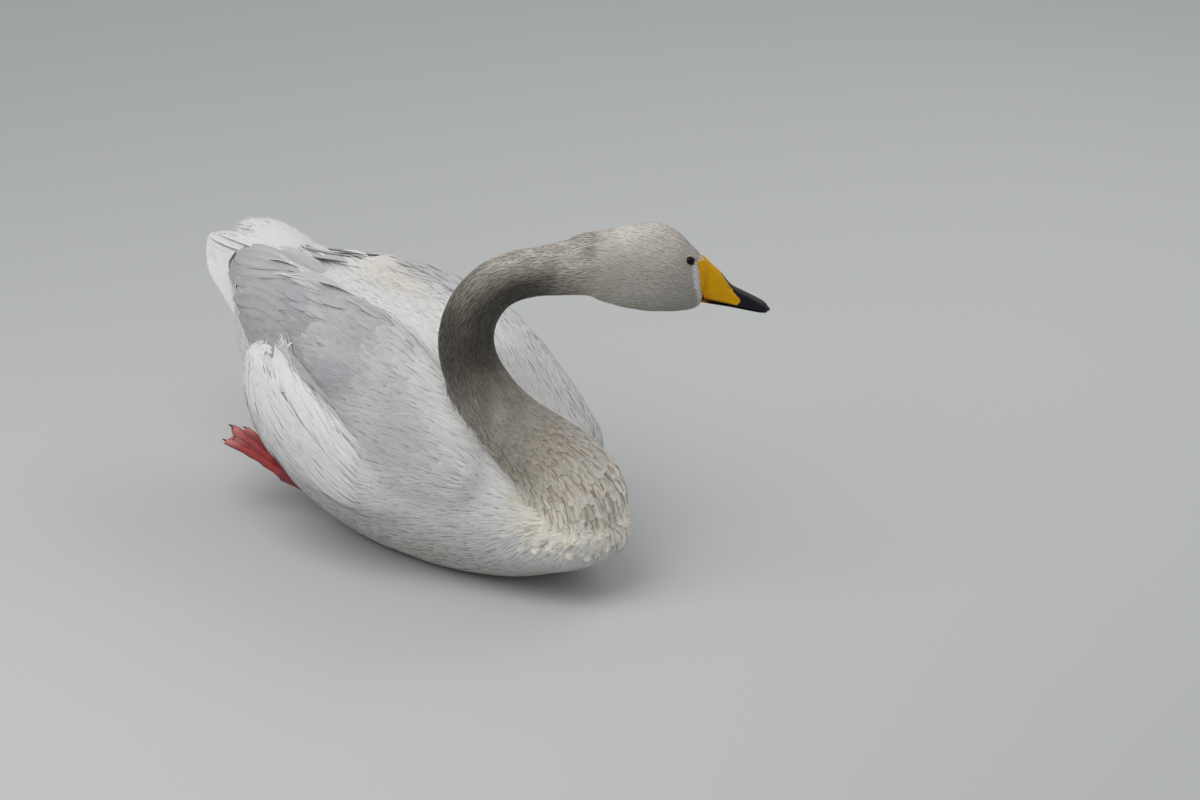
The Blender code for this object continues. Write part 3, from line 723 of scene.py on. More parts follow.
def neck_marks(places, station):
    """The neck: buff with brown flecks at its base, then grey, dark in the bend, paler above.

    The dark of the bend is partly its own dusky grey and partly painted shade.
    Beneath the bend it is painted shade.
    """
    at = NECK_AT[station]
    flecks = 0.5 * step(0.1, 0.9, wobble(places, 0.006, 8))
    colour = mix(np.broadcast_to(BASE_BUFF, places.shape), BASE_BROWN, flecks)
    for tone, low, high in ((NECK_GREY, 0.05, 0.17), (NECK_DARK_AND_SHADE, 0.19, 0.31), (NECK_PALE, 0.30, 0.42)):
        colour = mix(colour, tone, step(low, high, at))
    # painted shade beneath the bend
    over_axis = (places[:, 2] - NECK_PLACES[station][:, 2]) / NECK_RADII[station]
    underside_shade = step(1.0, -0.10, over_axis) * step(0.25, 0.31, at) * step(0.52, 0.43, at)
    return mix(colour, NECK_DARK_AND_SHADE, underside_shade)


def face_marks(head):
    """The head, in its own axes: grey-buff cheeks, a paler crown and a whitish strip along the bare skin."""
    colour = mix(np.broadcast_to(CHEEK, head.shape), CROWN, step(-0.045, 0.02, head[:, 2]))
    return mix(colour, BILL_STRIP, step(-0.0085, -0.0055, head[:, 0] - bare_edge(head[:, 2])) * 0.85)


def markings(places):
    """The plumage's colour at each place: white body, grey-buff neck and head.

    The neck's colours end a little outside its own radius. Above the breast it stands free of the body, and
    there they end sharply.
    """
    station, gap = on_neck(places)
    at = NECK_AT[station]
    edge = gap + 0.04 * wobble(places, 0.012, 3)
    free = step(0.07, 0.13, at) * step(0.38, 0.33, at)
    neck = 1 - step(1.10 - 0.10 * free, 1.22 - 0.14 * free, edge)
    on_head = head_share(places, -0.12, -0.05, 0.16)
    grey = mix(neck_marks(places, station), face_marks(in_head(places)), on_head)
    return mix(white_marks(places), grey, np.maximum(neck, on_head))


# ---- feathers ----

BEHIND = np.array([-0.62, 0.0, 0.43])  # the coat of the stern sweeps towards this place, well behind the tail
PLUME_TIPS = np.array([[-0.192, 0.150, 0.256], [-0.152, 0.150, 0.266]])  # of a flank's rear and upper plume


def body_lie(places):
    """The way the body's coat lies at each place: back along it, down over the breast, up to the tail."""
    sign = np.sign(places[:, 1])
    breast = step(0.10, 0.24, places[:, 0])
    body = np.stack([
        -1.0 + 0.3 * breast,
        -0.10 * sign * step(0.05, -0.25, places[:, 0]),
        0.05 - 0.75 * breast * step(0.16, 0.06, places[:, 2]),
    ], -1)
    stern = step(-0.10, -0.27, places[:, 0])[:, None]
    return unit(unit(body) * (1 - stern) + unit(BEHIND - places) * stern)


def lie(places):
    """The way the coat lies at each place: from bill to nape, down the neck, and on to the body's own lie."""
    station, gap = on_neck(places)
    neck = -NECK_WAYS[station] + np.array([-0.5, 0, -0.3]) * (1 - step(0.0, 0.10, NECK_AT[station]))[:, None]
    share = (1 - step(1.05, 1.22, gap))[:, None]
    way = body_lie(places) * (1 - share) + unit(neck) * share
    on_head = head_share(places, -0.11, -0.06, 0.16)[:, None]
    return unit(way * (1 - on_head) - HEAD_AXES[0] * on_head)


def flank_lie(places):
    """On a flank the coat sweeps back and up, past the tip of its rear plume."""
    share = step(0.04, -0.10, places[:, 0])[:, None]
    beyond = plume_tip(places, 0) + [-0.04, 0, 0.03]
    return unit(body_lie(places) * (1 - share) + unit(beyond - places) * share)


def plume_tip(places, which):
    """The tip of the rear (0) or upper (1) plume on each place's own side."""
    ones = np.ones(len(places))
    return PLUME_TIPS[which] * np.stack([ones, np.sign(places[:, 1]), ones], -1)


def spines(skin, roots, lengths, segments, turn, hold=1.0, flow=lie):
    """Feather spines: from each root a walk of even steps along the lie, each step put back on the skin.

    Turn bends a spine's course by that angle from the lie. Hold is how firmly a step is put back on the skin.
    Past an edge, where the nearest skin faces another way or is far off, the spine runs on freely.
    Gives places and normals, shape (feathers, segments + 1, 3).
    """
    place, normal = skin.nearest(roots)
    places, normals = [place], [normal]
    c, s = np.cos(turn)[:, None], np.sin(turn)[:, None]
    stride = (lengths / segments)[:, None]
    for _ in range(segments):
        way = flow(place)
        way = unit(way - normal * (way * normal).sum(1, keepdims=True))
        way = way * c + np.cross(normal, way) * s
        free = place + way * stride
        held, normal_next = skin.nearest(free)
        facing = step(0.3, 0.7, (normal * normal_next).sum(1))[:, None]
        back = (held - free) * hold * facing
        far = np.linalg.norm(back, axis=1, keepdims=True)
        place = free + back * np.minimum(1, 0.5 * stride / np.maximum(far, 1e-9))
        normal = unit(normal * (1 - 0.6 * facing) + normal_next * 0.6 * facing)
        places.append(place)
        normals.append(normal)
    return np.stack(places, 1), np.stack(normals, 1)


def settled(skin, spine, normal, limit=0.012):
    """Which feathers end near the skin and stay nearly flat. The others would curl round an edge."""
    end, _ = skin.nearest(spine[:, -1])
    near = np.linalg.norm(end - spine[:, -1], axis=1) < limit
    return near & ((normal[:, 0] * normal[:, -1]).sum(1) > 0.35)


LOCK = np.array([[-1, 0.0], [1, 0.0], [0, 1.0]])  # section of a lock: two edges and a ridge
VANE = np.array([[-1, -0.3], [0, -0.2], [1, -0.3], [0.6, 0.5], [0, 0.8], [-0.6, 0.5]])  # a low arch

# Half width along a feather, from root to tip: share of the length, share of the full half width
STRAND = np.array([[0, 0], [0.15, 0.75], [0.38, 1.0], [0.62, 0.8], [0.83, 0.42], [1, 0]])
TUFT = np.array([[0, 0], [0.22, 0.9], [0.5, 1.0], [0.78, 0.6], [1, 0]])
VANE_OUTLINE = np.array([[0, 0], [0.10, 0.35], [0.28, 0.72], [0.48, 0.95], [0.64, 1.0], [0.78, 0.95],
                         [0.88, 0.80], [0.95, 0.56], [0.985, 0.30], [1, 0]])
TAIL_OUTLINE = np.array([[0, 0], [0.06, 0.30], [0.2, 0.5], [0.4, 0.72], [0.6, 0.9], [0.74, 1.0], [0.83, 0.98],
                         [0.90, 0.86], [0.945, 0.68], [0.975, 0.45], [0.993, 0.22], [1, 0]])


def feathers(name, places, normals, widths, lift, outline, thick, section, finish, tint, root_map,
             edge_tint=None, pale_tip=False):
    """Closed feathers round their spines, joined in one mesh.

    Each ring is the section scaled by the half width, which follows the outline, and by thick. It stands on
    the spine, raised from lift[0] at the root to lift[1] at the tip, most of it near the root, so that the
    outer halves of neighbours lie level. Root and tip close in a point. An edge tint colours the margin and
    the tip, or, with a pale tip, the root and the sides. Root_map is each root's place in the map OFBake,
    where the feather has a small patch. The map Vane holds its width and length in metres.
    """
    share, profile = outline.T
    at = share * (places.shape[1] - 1)
    low = np.minimum(at.astype(int), places.shape[1] - 2)
    part = (at - low)[None, :, None]
    places = places[:, low] * (1 - part) + places[:, low + 1] * part
    normals = unit(normals[:, low] * (1 - part) + normals[:, low + 1] * part)
    count, rings, _ = places.shape
    rise = lift[0] + (lift[1] - lift[0]) * share ** 0.4
    middle = places + normals * rise[None, :, None]
    way = unit(np.gradient(middle, axis=1))
    side = unit(np.cross(normals, way))
    over = np.cross(way, side)
    half = widths[:, None] * profile[None]
    height = thick * profile ** 0.5
    points = (
        middle[:, 1:-1, None]
        + side[:, 1:-1, None] * (half[:, 1:-1, None] * section[None, None, :, 0])[..., None]
        + over[:, 1:-1, None] * (height[None, 1:-1, None] * section[None, None, :, 1])[..., None]
    )
    around = len(section)
    points = np.concatenate([points.reshape(count, -1, 3), middle[:, :1], middle[:, -1:]], 1)
    per = points.shape[1]
    template = ring_faces(rings - 2, around)
    faces = (template[None] + (np.arange(count) * per)[:, None, None]).reshape(-1, 3)
    along = np.concatenate([np.repeat(share[1:-1], around), [0, 1]])
    across = np.concatenate([np.tile(section[:, 0], rings - 2), [0, 0]])
    length = np.linalg.norm(np.diff(places, axis=1), axis=2).sum(1)
    own = np.stack([across[None] * widths[:, None], along[None] * length[:, None]], -1)
    own = own + np.random.default_rng(SEED).uniform(0, 9, (count, 1, 2))
    patch = root_map[:, None] + 0.003 * (np.stack([across / 2, along], -1) - [0, 0.5])[None]
    edge = np.maximum(step(0.60, 0.95, along), step(0.5, 1.0, np.abs(across)))
    if pale_tip:
        edge = np.maximum(step(0.55, 0.30, along), step(0.2, 1.0, np.abs(across)) * step(1.0, 0.75, along))
    edge = edge[None, :, None]
    ends = tint if edge_tint is None else edge_tint
    # painted shade: each feather up to 10 % darker towards its root, where it lies under its neighbours
    shade = 1 - 0.10 * (1 - along[None, :, None]) ** 2
    tints = (tint[:, None] * (1 - edge) + ends[:, None] * edge) * shade
    uvs = {"OFBake": patch.reshape(-1, 2), "Vane": own.reshape(-1, 2)}
    lean = np.broadcast_to(normals[:, 1:-1, None], (count, rings - 2, around, 3)).reshape(count, -1, 3)
    lean = np.concatenate([lean, normals[:, :1], normals[:, -1:]], 1)
    return new_piece(name, points.reshape(-1, 3), faces, finish, tints.reshape(-1, 3), uvs,
                     lean.reshape(-1, 3))


def evenly(gap):
    """A spacing that is the same everywhere."""
    return lambda at: np.full_like(at, gap)


def rows(start, end, spacing):
    """Stations from start to end with a gap that follows spacing(station)."""
    fine = np.linspace(start, end, 2000)
    count = np.concatenate([[0], np.cumsum(np.abs(np.diff(fine)) / spacing((fine[1:] + fine[:-1]) / 2))])
    return np.interp(np.arange(0, count[-1]), count, fine)


def quincunx(stations, angles, columns, jitter, rng):
    """Roots in staggered rows: every second row is shifted half a column, then each root strays a little."""
    station = np.repeat(stations, columns)
    row = np.repeat(np.arange(len(stations)), columns)
    column = np.concatenate([np.arange(n) for n in columns])
    share = (column + 0.5 * (row % 2)) / np.repeat(columns, columns)
    angle = angles[0] + (angles[1] - angles[0]) * share
    pitch = np.repeat(np.gradient(stations), columns)
    station = station + rng.uniform(-jitter, jitter, len(station)) * pitch
    stray = rng.uniform(-jitter, jitter, len(angle))
    angle = angle + stray * (angles[1] - angles[0]) / np.repeat(columns, columns)
    return station, angle


def body_roots(skin, spacing, rng, span=(-0.345, 0.30), jitter=0.3):
    """Roots round the body: rays from a barrel round it, at right angles to its long axis, to the skin."""
    stations = rows(*span, spacing)
    gap = spacing(stations)
    columns = np.maximum((2 * math.pi * 0.15 / gap).astype(int), 8)
    x, angle = quincunx(stations, (0, 2 * math.pi), columns, jitter, rng)
    out = np.stack([np.zeros(len(x)), np.cos(angle), np.sin(angle)], -1)
    axis = np.stack([x, np.zeros(len(x)), 0.13 + 0.10 * step(-0.1, -0.34, x) - 0.05 * step(0.1, 0.28, x)], -1)
    places, landed = skin.hit(axis + out * 0.5, -out)
    unwrap = np.stack([(x + 0.36) / 0.70, (angle / (2 * math.pi)) % 1.0], -1) * 0.98 + 0.01
    return places, unwrap[landed]


def neck_roots(skin, spacing, rng, span, jitter=0.35, crowd=1.0):
    """Roots round the neck: rays from a tube round its axis, straight in, to the skin. Crowd adds columns."""
    stations = rows(*span, spacing)
    radius = np.interp(stations, NECK_AT, NECK_RADII)
    columns = np.maximum((2 * math.pi * radius / spacing(stations) * crowd).astype(int), 8)
    at, angle = quincunx(stations, (0, 2 * math.pi), columns, jitter, rng)
    index = np.interp(at, NECK_AT, np.arange(len(NECK_AT)))
    place = np.stack([np.interp(index, np.arange(len(NECK_AT)), NECK_PLACES[:, k]) for k in range(3)], -1)
    way = unit(np.stack([np.interp(index, np.arange(len(NECK_AT)), NECK_WAYS[:, k]) for k in range(3)], -1))
    side = unit(HEAD_AXES[1] - way * (way @ HEAD_AXES[1])[:, None])
    over = np.cross(way, side)
    out = side * np.cos(angle)[:, None] + over * np.sin(angle)[:, None]
    reach = np.interp(at, NECK_AT, NECK_RADII) * 1.5
    places, landed = skin.hit(place + out * reach[:, None], -out)
    unwrap = np.stack([at / NECK_AT[-1], (angle / (2 * math.pi)) % 1.0], -1) * 0.98 + 0.01
    return places, unwrap[landed]


def head_roots(skin, spacing, rng, jitter=0.35):
    """Roots round the head: rays from a tube round its own axis, straight in, to the skin."""
    stations = rows(-0.11, 0.045, spacing)
    columns = np.maximum((2 * math.pi * 0.036 / spacing(stations)).astype(int), 8)
    along, angle = quincunx(stations, (0, 2 * math.pi), columns, jitter, rng)
    axis = from_head(along, 0.0, -0.036)
    out = HEAD_AXES[1] * np.cos(angle)[:, None] + HEAD_AXES[2] * np.sin(angle)[:, None]
    places, landed = skin.hit(axis + out * 0.12, -out)
    unwrap = np.stack([(along + 0.12) / 0.18, (angle / (2 * math.pi)) % 1.0], -1) * 0.98 + 0.01
    return places, unwrap[landed]


def even(rng, count, low, high):
    """Evenly spread random numbers from low to high."""
    return rng.uniform(low, high, count)


def coat_tint(places, rng, spread):
    """Each feather takes the marking at its root, a little lighter or darker than its neighbours."""
    return markings(places) * (1 + rng.normal(0, spread, (len(places), 1)))


def bill_upper(skin, horn):
    """Upper mandible with the bare skin behind it, as one surface.

    Rings run from the bare skin's back edge to the tip. Each is an arch whose half width and ridge follow the
    bill's table. At the bill's root the reach from the axis is a smooth maximum of the arch and the head's
    skin, found by rays towards the axis: (a + b + sqrt((a - b)^2 + k^2)) / 2.
    """
    around, count = 56, 96
    angle = np.linspace(0, math.pi, around)
    height_share = np.sin(angle) ** 0.82
    t = np.sin(np.linspace(0, 1, count) * math.pi / 2)
    back = np.interp(height_share, BARE_BACK[:, 0], BARE_BACK[:, 1])
    along = back[None] + (BILL_TIP - back[None]) * t[:, None]
    culmen, half = curve_through(UPPER_BILL[:, 0], UPPER_BILL[:, 1:], along.ravel()).T
    culmen, half = culmen.reshape(along.shape), half.reshape(along.shape)
    top = culmen + 0.0012 * bell(0.047, 0.010, along) - 0.0016 * bell(0.066, 0.010, along)
    hollow_side = 0.10 * np.sin(math.pi * height_share[None]) * step(0.05, 0.09, along)
    left = np.cos(angle)[None] * half * (1 - hollow_side)
    up = GAPE_HEIGHT + height_share[None] * (top - GAPE_HEIGHT)
    nostril = bell(0.0655, 0.0045, along) * bell(0.80, 0.07, height_share[None])
    nostril = nostril * (np.abs(np.cos(angle))[None] > 0.15)
    left = left * (1 - 0.30 * nostril)
    nail = 0.0011 * step(0.108, 0.113, along) * bell(0.0, 0.006, left)
    lip = 0.0009 * bell(0.0, 0.10, height_share[None]) * np.sign(np.cos(angle))[None]
    place = from_head(along, left + lip, up + nail)
    axis = from_head(along, 0.0, -0.036)
    out = unit(from_head(along, left, up) - axis)
    own_reach = np.linalg.norm(place - axis, axis=-1)
    found, landed = skin.hit((axis + out * 0.07).reshape(-1, 3), -out.reshape(-1, 3))
    skin_reach = np.zeros(along.size)
    skin_reach[landed] = np.linalg.norm(found - axis.reshape(-1, 3)[landed], axis=1) + 0.0020
    skin_reach = skin_reach.reshape(along.shape) - 0.02 * step(0.030, 0.042, along)
    gap = own_reach - skin_reach
    reach = (own_reach + skin_reach + np.sqrt(gap**2 + 0.0015**2)) / 2
    reach = np.where(along < 0.05, reach, own_reach)
    place = place + (axis + out * reach[..., None] - place) * step(0.045, 0.036, along)[..., None]
    under = np.linspace(-1, 1, 9)[1:-1]
    flat = from_head(along[:, -1:], under[None] * half[:, :1] * 0.93, GAPE_HEIGHT + 0.0004)
    rings = np.concatenate([place, flat], 1)

    front = np.interp(height_share, YELLOW_FRONT[:, 0], YELLOW_FRONT[:, 1])
    ragged = 0.0007 * wobble(place.reshape(-1, 3), 0.0016, 21).reshape(along.shape)
    comb = 0.045 + 0.035 * (np.sin(along * 2 * math.pi / 0.0016) > 0) * step(0.055, 0.06, along)
    dark = np.maximum(step(-0.0003, 0.0003, along - front[None] + ragged),
                      step(0.02, 0.0, height_share[None] - comb))
    warm = bell(0.039, 0.006, along) * step(0.30, 0.10, height_share[None])
    warm = warm * (0.5 + 0.5 * wobble(place.reshape(-1, 3), 0.0014, 23).reshape(along.shape))
    colour = mix(np.broadcast_to(BILL_YELLOW, (along.size, 3)), BILL_ORANGE, np.clip(warm.ravel(), 0, 1))
    colour = mix(colour, BILL_BLACK, dark.ravel()).reshape(*along.shape, 3)
    tint = np.concatenate([colour, np.broadcast_to(BILL_BLACK, flat.shape)], 1)
    made = tube("bill_upper_horn", rings[:, ::-1], horn, tint[:, ::-1])
    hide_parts("bill_upper")


def bill_lower(horn):
    """Lower mandible: a trough that tapers to the nail, black with a little orange at the gape."""
    root, around = 0.032, 28
    along = root + (BILL_TIP - 0.0045 - root) * np.sin(np.linspace(0, 1, 60) * math.pi / 2)
    half = curve_through(UPPER_BILL[:, 0], UPPER_BILL[:, 2], along)[:, 0] * 0.88
    deep = np.interp(along, [root, BILL_TIP], [0.0078, 0.0024])
    angle = np.linspace(0, 2 * math.pi, around, endpoint=False)
    left = np.cos(angle)[None] * half[:, None]
    up = GAPE_HEIGHT - 0.0008 - deep[:, None] * (1 - np.sin(angle)[None]) / 2
    rings = from_head(np.repeat(along[:, None], around, 1), left, up)
    warm = step(0.046, 0.038, along)[:, None, None] * np.ones((1, around, 1))
    tint = BILL_BLACK * (1 - warm) + GAPE_ORANGE * warm
    made = tube("bill_lower_horn", rings, horn, tint)
    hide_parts("bill_lower")


def eyeball(side, sign, centre, cornea):
    """A sphere with its pole to the side: a black pupil round the pole, in a dark brown iris."""
    ball = sphere(40, 48)
    pupil = step(0.50, 0.42, np.arccos(ball[..., 1:2]))
    ball[..., 1] *= sign
    rings = centre + (ball * EYE_RADIUS) @ HEAD_AXES
    tint = IRIS * (1 - pupil) + PUPIL * pupil
    made = tube("eyeball_" + side, rings if sign > 0 else rings[:, ::-1], cornea, tint)
    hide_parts("eye_" + side)


def eyelids(side, sign, centre, lid_hide, skin):
    """A dark rim of bare skin round an eye, shaped as a closed ring that passes into the coat.

    Seven circles of the ring lie at their own reach from the eye's middle. The inner ones stand a little over
    the ball, whose height is sqrt(1 - reach^2), the outer ones over the skin, found by rays, and the last two
    inside.
    """
    round_eye = np.linspace(0, 2 * math.pi, 64, endpoint=False)
    reach = np.array([0.80, 0.83, 0.87, 0.96, 1.12, 1.12, 0.80])
    above_ball = np.array([-0.02, 0.02, 0.02, 0.0, 0.0, -0.30, -0.30])
    tall = 1 - 0.14 * np.sin(round_eye) ** 2
    across = (np.cos(round_eye)[:, None] * reach) * EYE_RADIUS * 1.06
    upward = (np.sin(round_eye) * tall)[:, None] * reach * EYE_RADIUS
    off_axis = np.minimum((across**2 + upward**2) / EYE_RADIUS**2, 1)
    outward = (np.sqrt(1 - off_axis) + above_ball) * EYE_RADIUS
    side_way = sign * HEAD_AXES[1]
    outer = centre + across[:, 4:5] * HEAD_AXES[0] + upward[:, 4:5] * HEAD_AXES[2]
    found, _ = skin.hit(outer + side_way * 0.03, np.repeat(-side_way[None], len(outer), 0))
    look = unit(skin.nearest(found)[1].mean(0) + 0.2 * side_way)  # square to the skin round the eye
    ahead = unit(HEAD_AXES[0] - look * (look @ HEAD_AXES[0]))
    above = unit(HEAD_AXES[2] - look * (look @ HEAD_AXES[2]) - ahead * (ahead @ HEAD_AXES[2]))
    base = centre + across[..., None] * ahead + upward[..., None] * above
    for column, clear in ((3, 0.0012), (4, 0.0004)):
        found, landed = skin.hit(base[:, 4] + look * 0.03, np.repeat(-look[None], len(base), 0))
        outward[landed, column] = (found - centre) @ look + clear
    outward[:, 3] = outward[:, 3] * 0.45 + outward[:, 2] * 0.55
    outward[:, 5] = outward[:, 4] - 0.002
    rings = base + outward[..., None] * look
    count, around = rings.shape[:2]
    i, j = np.arange(count)[:, None], np.arange(around)[None]
    k, m = (i + 1) % count * around, (j + 1) % around
    quads = np.stack([i * around + j, i * around + m, k + m, k + j], -1).reshape(-1, 4)
    if sign > 0:
        quads = quads[:, ::-1]
    shades = np.array([1, 1, 0.8, 0.1, 0, 0, 1])[None, :, None]
    coat = markings(rings.reshape(-1, 3)).reshape(rings.shape)
    new_piece("eyelids_" + side, rings.reshape(-1, 3), quads, lid_hide,
              (LID * shades + coat * 0.85 * (1 - shades)).reshape(-1, 3))


def tail_fan(silk, rng):
    """Rectrices in an arched fan, each a vane from the root to its own tip, with coverts and frayed ends.

    Tips follow the tail's table. The right side is held closed, so its feathers are stacked and their roots
    run down the side. Each spine rises between root and tip by a sine.
    """
    share = np.linspace(-1, 1, TAIL_FEATHERS)
    closed = np.clip(-share - 0.15, 0, 1)
    tips = curve_through(TAIL[:, 0], TAIL[:, 1:], np.where(share < -0.15, -0.15 - 0.26 * closed, share))
    roots = np.stack([0 * share + TAIL_ROOT[0], share * TAIL_ROOT[1], TAIL_ROOT[2] - 0.030 * share**2], -1)
    roots = roots + (TAIL_EDGE_ROOT - roots) * (closed / 0.85)[:, None]
    reach = 1 + rng.uniform(-0.02, 0.012, len(share)) * (share > -0.15) - 0.10 * bell(0.08, 0.11, share)
    t = np.linspace(0, 1, TAIL_STATIONS)
    middle = roots[:, None] + (tips - roots)[:, None] * (t[None, :, None] * reach[:, None, None])
    middle[..., 2] += 0.010 * np.sin(math.pi * t)[None] - 0.004 * np.abs(share)[:, None]
    across = unit(np.gradient(middle, axis=0))
    way = unit(np.gradient(middle, axis=1))
    normal = unit(np.cross(way, across))
    normal = normal * np.sign(normal[..., 2:])
    roll = 0.14 * np.sign(share)[:, None, None]
    normal = unit(normal - across * roll)
    unwrap = np.stack([0.05 + 0.9 * (share + 1) / 2, np.full(len(share), 0.5)], -1)
    wide = np.full(len(share), TAIL_HALF_WIDTH)
    made = feathers("tail_rectrices", middle, normal, wide, (0.0, 0.0), TAIL_OUTLINE, 0.0012, VANE, silk,
                    np.broadcast_to(WHITE, (len(share), 3)), unwrap)
    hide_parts("tail")
    tail_coverts(share, roots, tips, normal, unwrap, silk, rng)
    tail_barbs(share, middle, normal, unwrap, silk, rng)


def tail_coverts(share, roots, tips, normal, unwrap, silk, rng):
    """Two ranks of shorter feathers over the roots of the fan, each along a rectrix, greyer to the right."""
    t = np.linspace(0, 1, TAIL_STATIONS)
    rank = np.repeat([0.36, 0.48], len(share))  # how far along the fan each rank reaches
    row = np.tile(np.arange(len(share)), 2)
    row, rank = pick(share[row] > -0.75, row, rank)
    part = t[None, :, None] * (rank * even(rng, len(row), 0.92, 1.08))[:, None, None]
    cover = roots[row][:, None] + (tips - roots)[row][:, None] * part
    cover[..., 2] += 0.010 * np.sin(math.pi * part[..., 0]) + 0.0050
    cover[..., 2] -= 0.006 * (rank[:, None] - 0.30) / 0.18 * t[None]
    cover[:, 0, 2] -= 0.006
    grey = mix(np.broadcast_to(WHITE, (len(row), 3)), TERTIAL_GREY_AND_SHADE, 0.55 * step(0.75, -0.2, share[row]))
    facing = np.repeat(normal[row, 3][:, None], len(t), 1)
    feathers("tail_coverts", cover, facing, np.full(len(row), 0.0125), (0.0, 0.0008), VANE_OUTLINE, 0.0006,
             VANE, silk, grey, unwrap[row])


def tail_barbs(share, middle, normal, unwrap, silk, rng):
    """Frayed barbs round each rectrix's end, longer and wilder on the open left side of the fan."""
    across = unit(np.gradient(middle, axis=0))
    way = unit(np.gradient(middle, axis=1))
    index = np.repeat(np.arange(len(share)), TAIL_BARBS)
    across_share = rng.uniform(-1, 1, len(index))
    start = 0.975 - 0.13 * across_share**2 - rng.uniform(0, 0.10, len(index))
    station = start * (TAIL_STATIONS - 1)
    low = np.floor(station).astype(int)
    part = (station - low)[:, None]
    base = middle[index, low] * (1 - part) + middle[index, low + 1] * part
    t = np.linspace(0, 1, TAIL_STATIONS)
    width = TAIL_HALF_WIDTH * np.interp(start, t, np.interp(t, TAIL_OUTLINE[:, 0], TAIL_OUTLINE[:, 1]))
    base = base + across[index, low] * (across_share * width * 0.85)[:, None]
    ragged = step(0.0, 0.15, share[index])
    length = even(rng, len(index), 0.008, 0.015) * (0.6 + 0.7 * ragged)
    spread = across_share * (0.05 + 0.40 * ragged) + rng.normal(0, 0.02 + 0.14 * ragged, len(index))
    direction = unit(way[index, low] + across[index, low] * spread[:, None])
    steps = np.linspace(0, 1, 6)
    places = base[:, None] + direction[:, None] * (steps[None] * length[:, None])[..., None]
    lift = rng.uniform(-0.0008, 0.0014, len(index))
    places = places + normal[index, low][:, None] * (lift[:, None] * np.ones((1, 6)))[..., None]
    barbs = np.repeat(normal[index, low][:, None], 6, 1)
    feathers("tail_frayed_barbs", places, barbs, even(rng, len(index), 0.0005, 0.0012), (0.0, 0.0), STRAND,
             0.0003, LOCK, silk, np.broadcast_to(WHITE, (len(index), 3)), unwrap[index])


def tertials(skin, silk, rng):
    """The long innermost wing feathers, over the tail's root: straight spines on the skin and past its edge.

    Roots and tips follow curves from the wing's ridge down to its rear lower edge. Rays along each feather's
    own outward way find the skin's level, which is smoothed along the spine. The upper feathers lie on top.
    """
    down_wing = np.linspace(1, 0, TERTIALS)
    roots = curve_through(TERTIAL_ROOTS[:, 0], TERTIAL_ROOTS[:, 1:], down_wing)
    tips = curve_through(TERTIAL_TIPS[:, 0], TERTIAL_TIPS[:, 1:], down_wing)
    tips = tips + rng.normal(0, 0.003, tips.shape) * [1, 0, 0.3]
    t = np.linspace(0, 1, 14)[None, :, None]
    spine, normal, over = [], [], []
    for sign in (1, -1):
        line = roots[:, None] * (1 - t) + tips[:, None] * t
        line[..., 1] *= sign
        slope = [-0.10 + 0 * down_wing, sign * (0.25 + 0.65 * down_wing), 0.95 - 0.45 * down_wing]
        outward = unit(np.stack(slope, -1))
        outward = np.repeat(outward[:, None], line.shape[1], 1)
        found, landed = skin.hit((line + outward * 0.06).reshape(-1, 3), -outward.reshape(-1, 3))
        level = np.full(len(landed), -1.0)
        level[landed] = ((found - line.reshape(-1, 3)[landed]) * outward.reshape(-1, 3)[landed]).sum(1)
        level = level.reshape(line.shape[:2])
        held = np.clip(level, -0.02, 0.02)
        level[:, 0] = held[:, 0]
        for k in range(1, line.shape[1]):  # past the wing's edge a feather runs on as it lay
            level[:, k] = np.where(level[:, k] < -0.02, level[:, k - 1] * 0.8, held[:, k])
        for _ in range(5):
            level[:, 1:-1] = (level[:, :-2] + level[:, 1:-1] * 2 + level[:, 2:]) / 4
        stack = 0.0024 + 0.0006 * (1 - down_wing)[:, None] + 0.0004 * t[..., 0]
        course = line + outward * (level + stack)[..., None]
        facing = unit(np.cross(np.gradient(course, axis=1), np.gradient(course, axis=0)))
        facing = facing * np.sign((facing * outward).sum(-1, keepdims=True))
        for _ in range(3):
            facing[:, 1:-1] = unit(facing[:, :-2] + facing[:, 1:-1] * 2 + facing[:, 2:])
        spine.append(course)
        normal.append(facing)
        over.append(down_wing)
    spine, normal, over = np.concatenate(spine), np.concatenate(normal), np.concatenate(over)
    # the lower tertials greyer, their margins and tips greyer still: partly own grey, partly painted shade
    grey = np.broadcast_to(TERTIAL_GREY_AND_SHADE, (len(over), 3))
    shaft = mix(grey, WHITE, 0.50 - 0.35 * over) * (1 + rng.normal(0, 0.02, (len(over), 1)))
    rear = mix(grey, WHITE, 0.25 * (1 - over))
    unwrap = np.stack([0.05 + 0.9 * np.arange(len(over)) / len(over), np.full(len(over), 0.5)], -1)
    feathers("tertial_vanes", spine, normal, 0.0165 - 0.004 * over, (-0.002, 0.0), VANE_OUTLINE, 0.0005, VANE,
             silk, shaft, unwrap, rear)


def foot(side, sign, hide, horn):
    """A leg drawn back under the belly, and a webbed foot half closed against the stern, with its claws."""
    heel, knuckle, tip = (np.array([p[0], sign * p[1], p[2]]) for p in (HEEL, KNUCKLE, TOE_TIP))
    leg(side, heel, knuckle, hide)
    toe = unit(tip - knuckle)
    out = unit(np.cross(toe, [0, 0, 1.0]))
    over = np.cross(out, toe)
    ends = web(side, knuckle, np.linalg.norm(tip - knuckle), (toe, out, over), hide)
    claws(side, ends, (toe, out, over), horn)


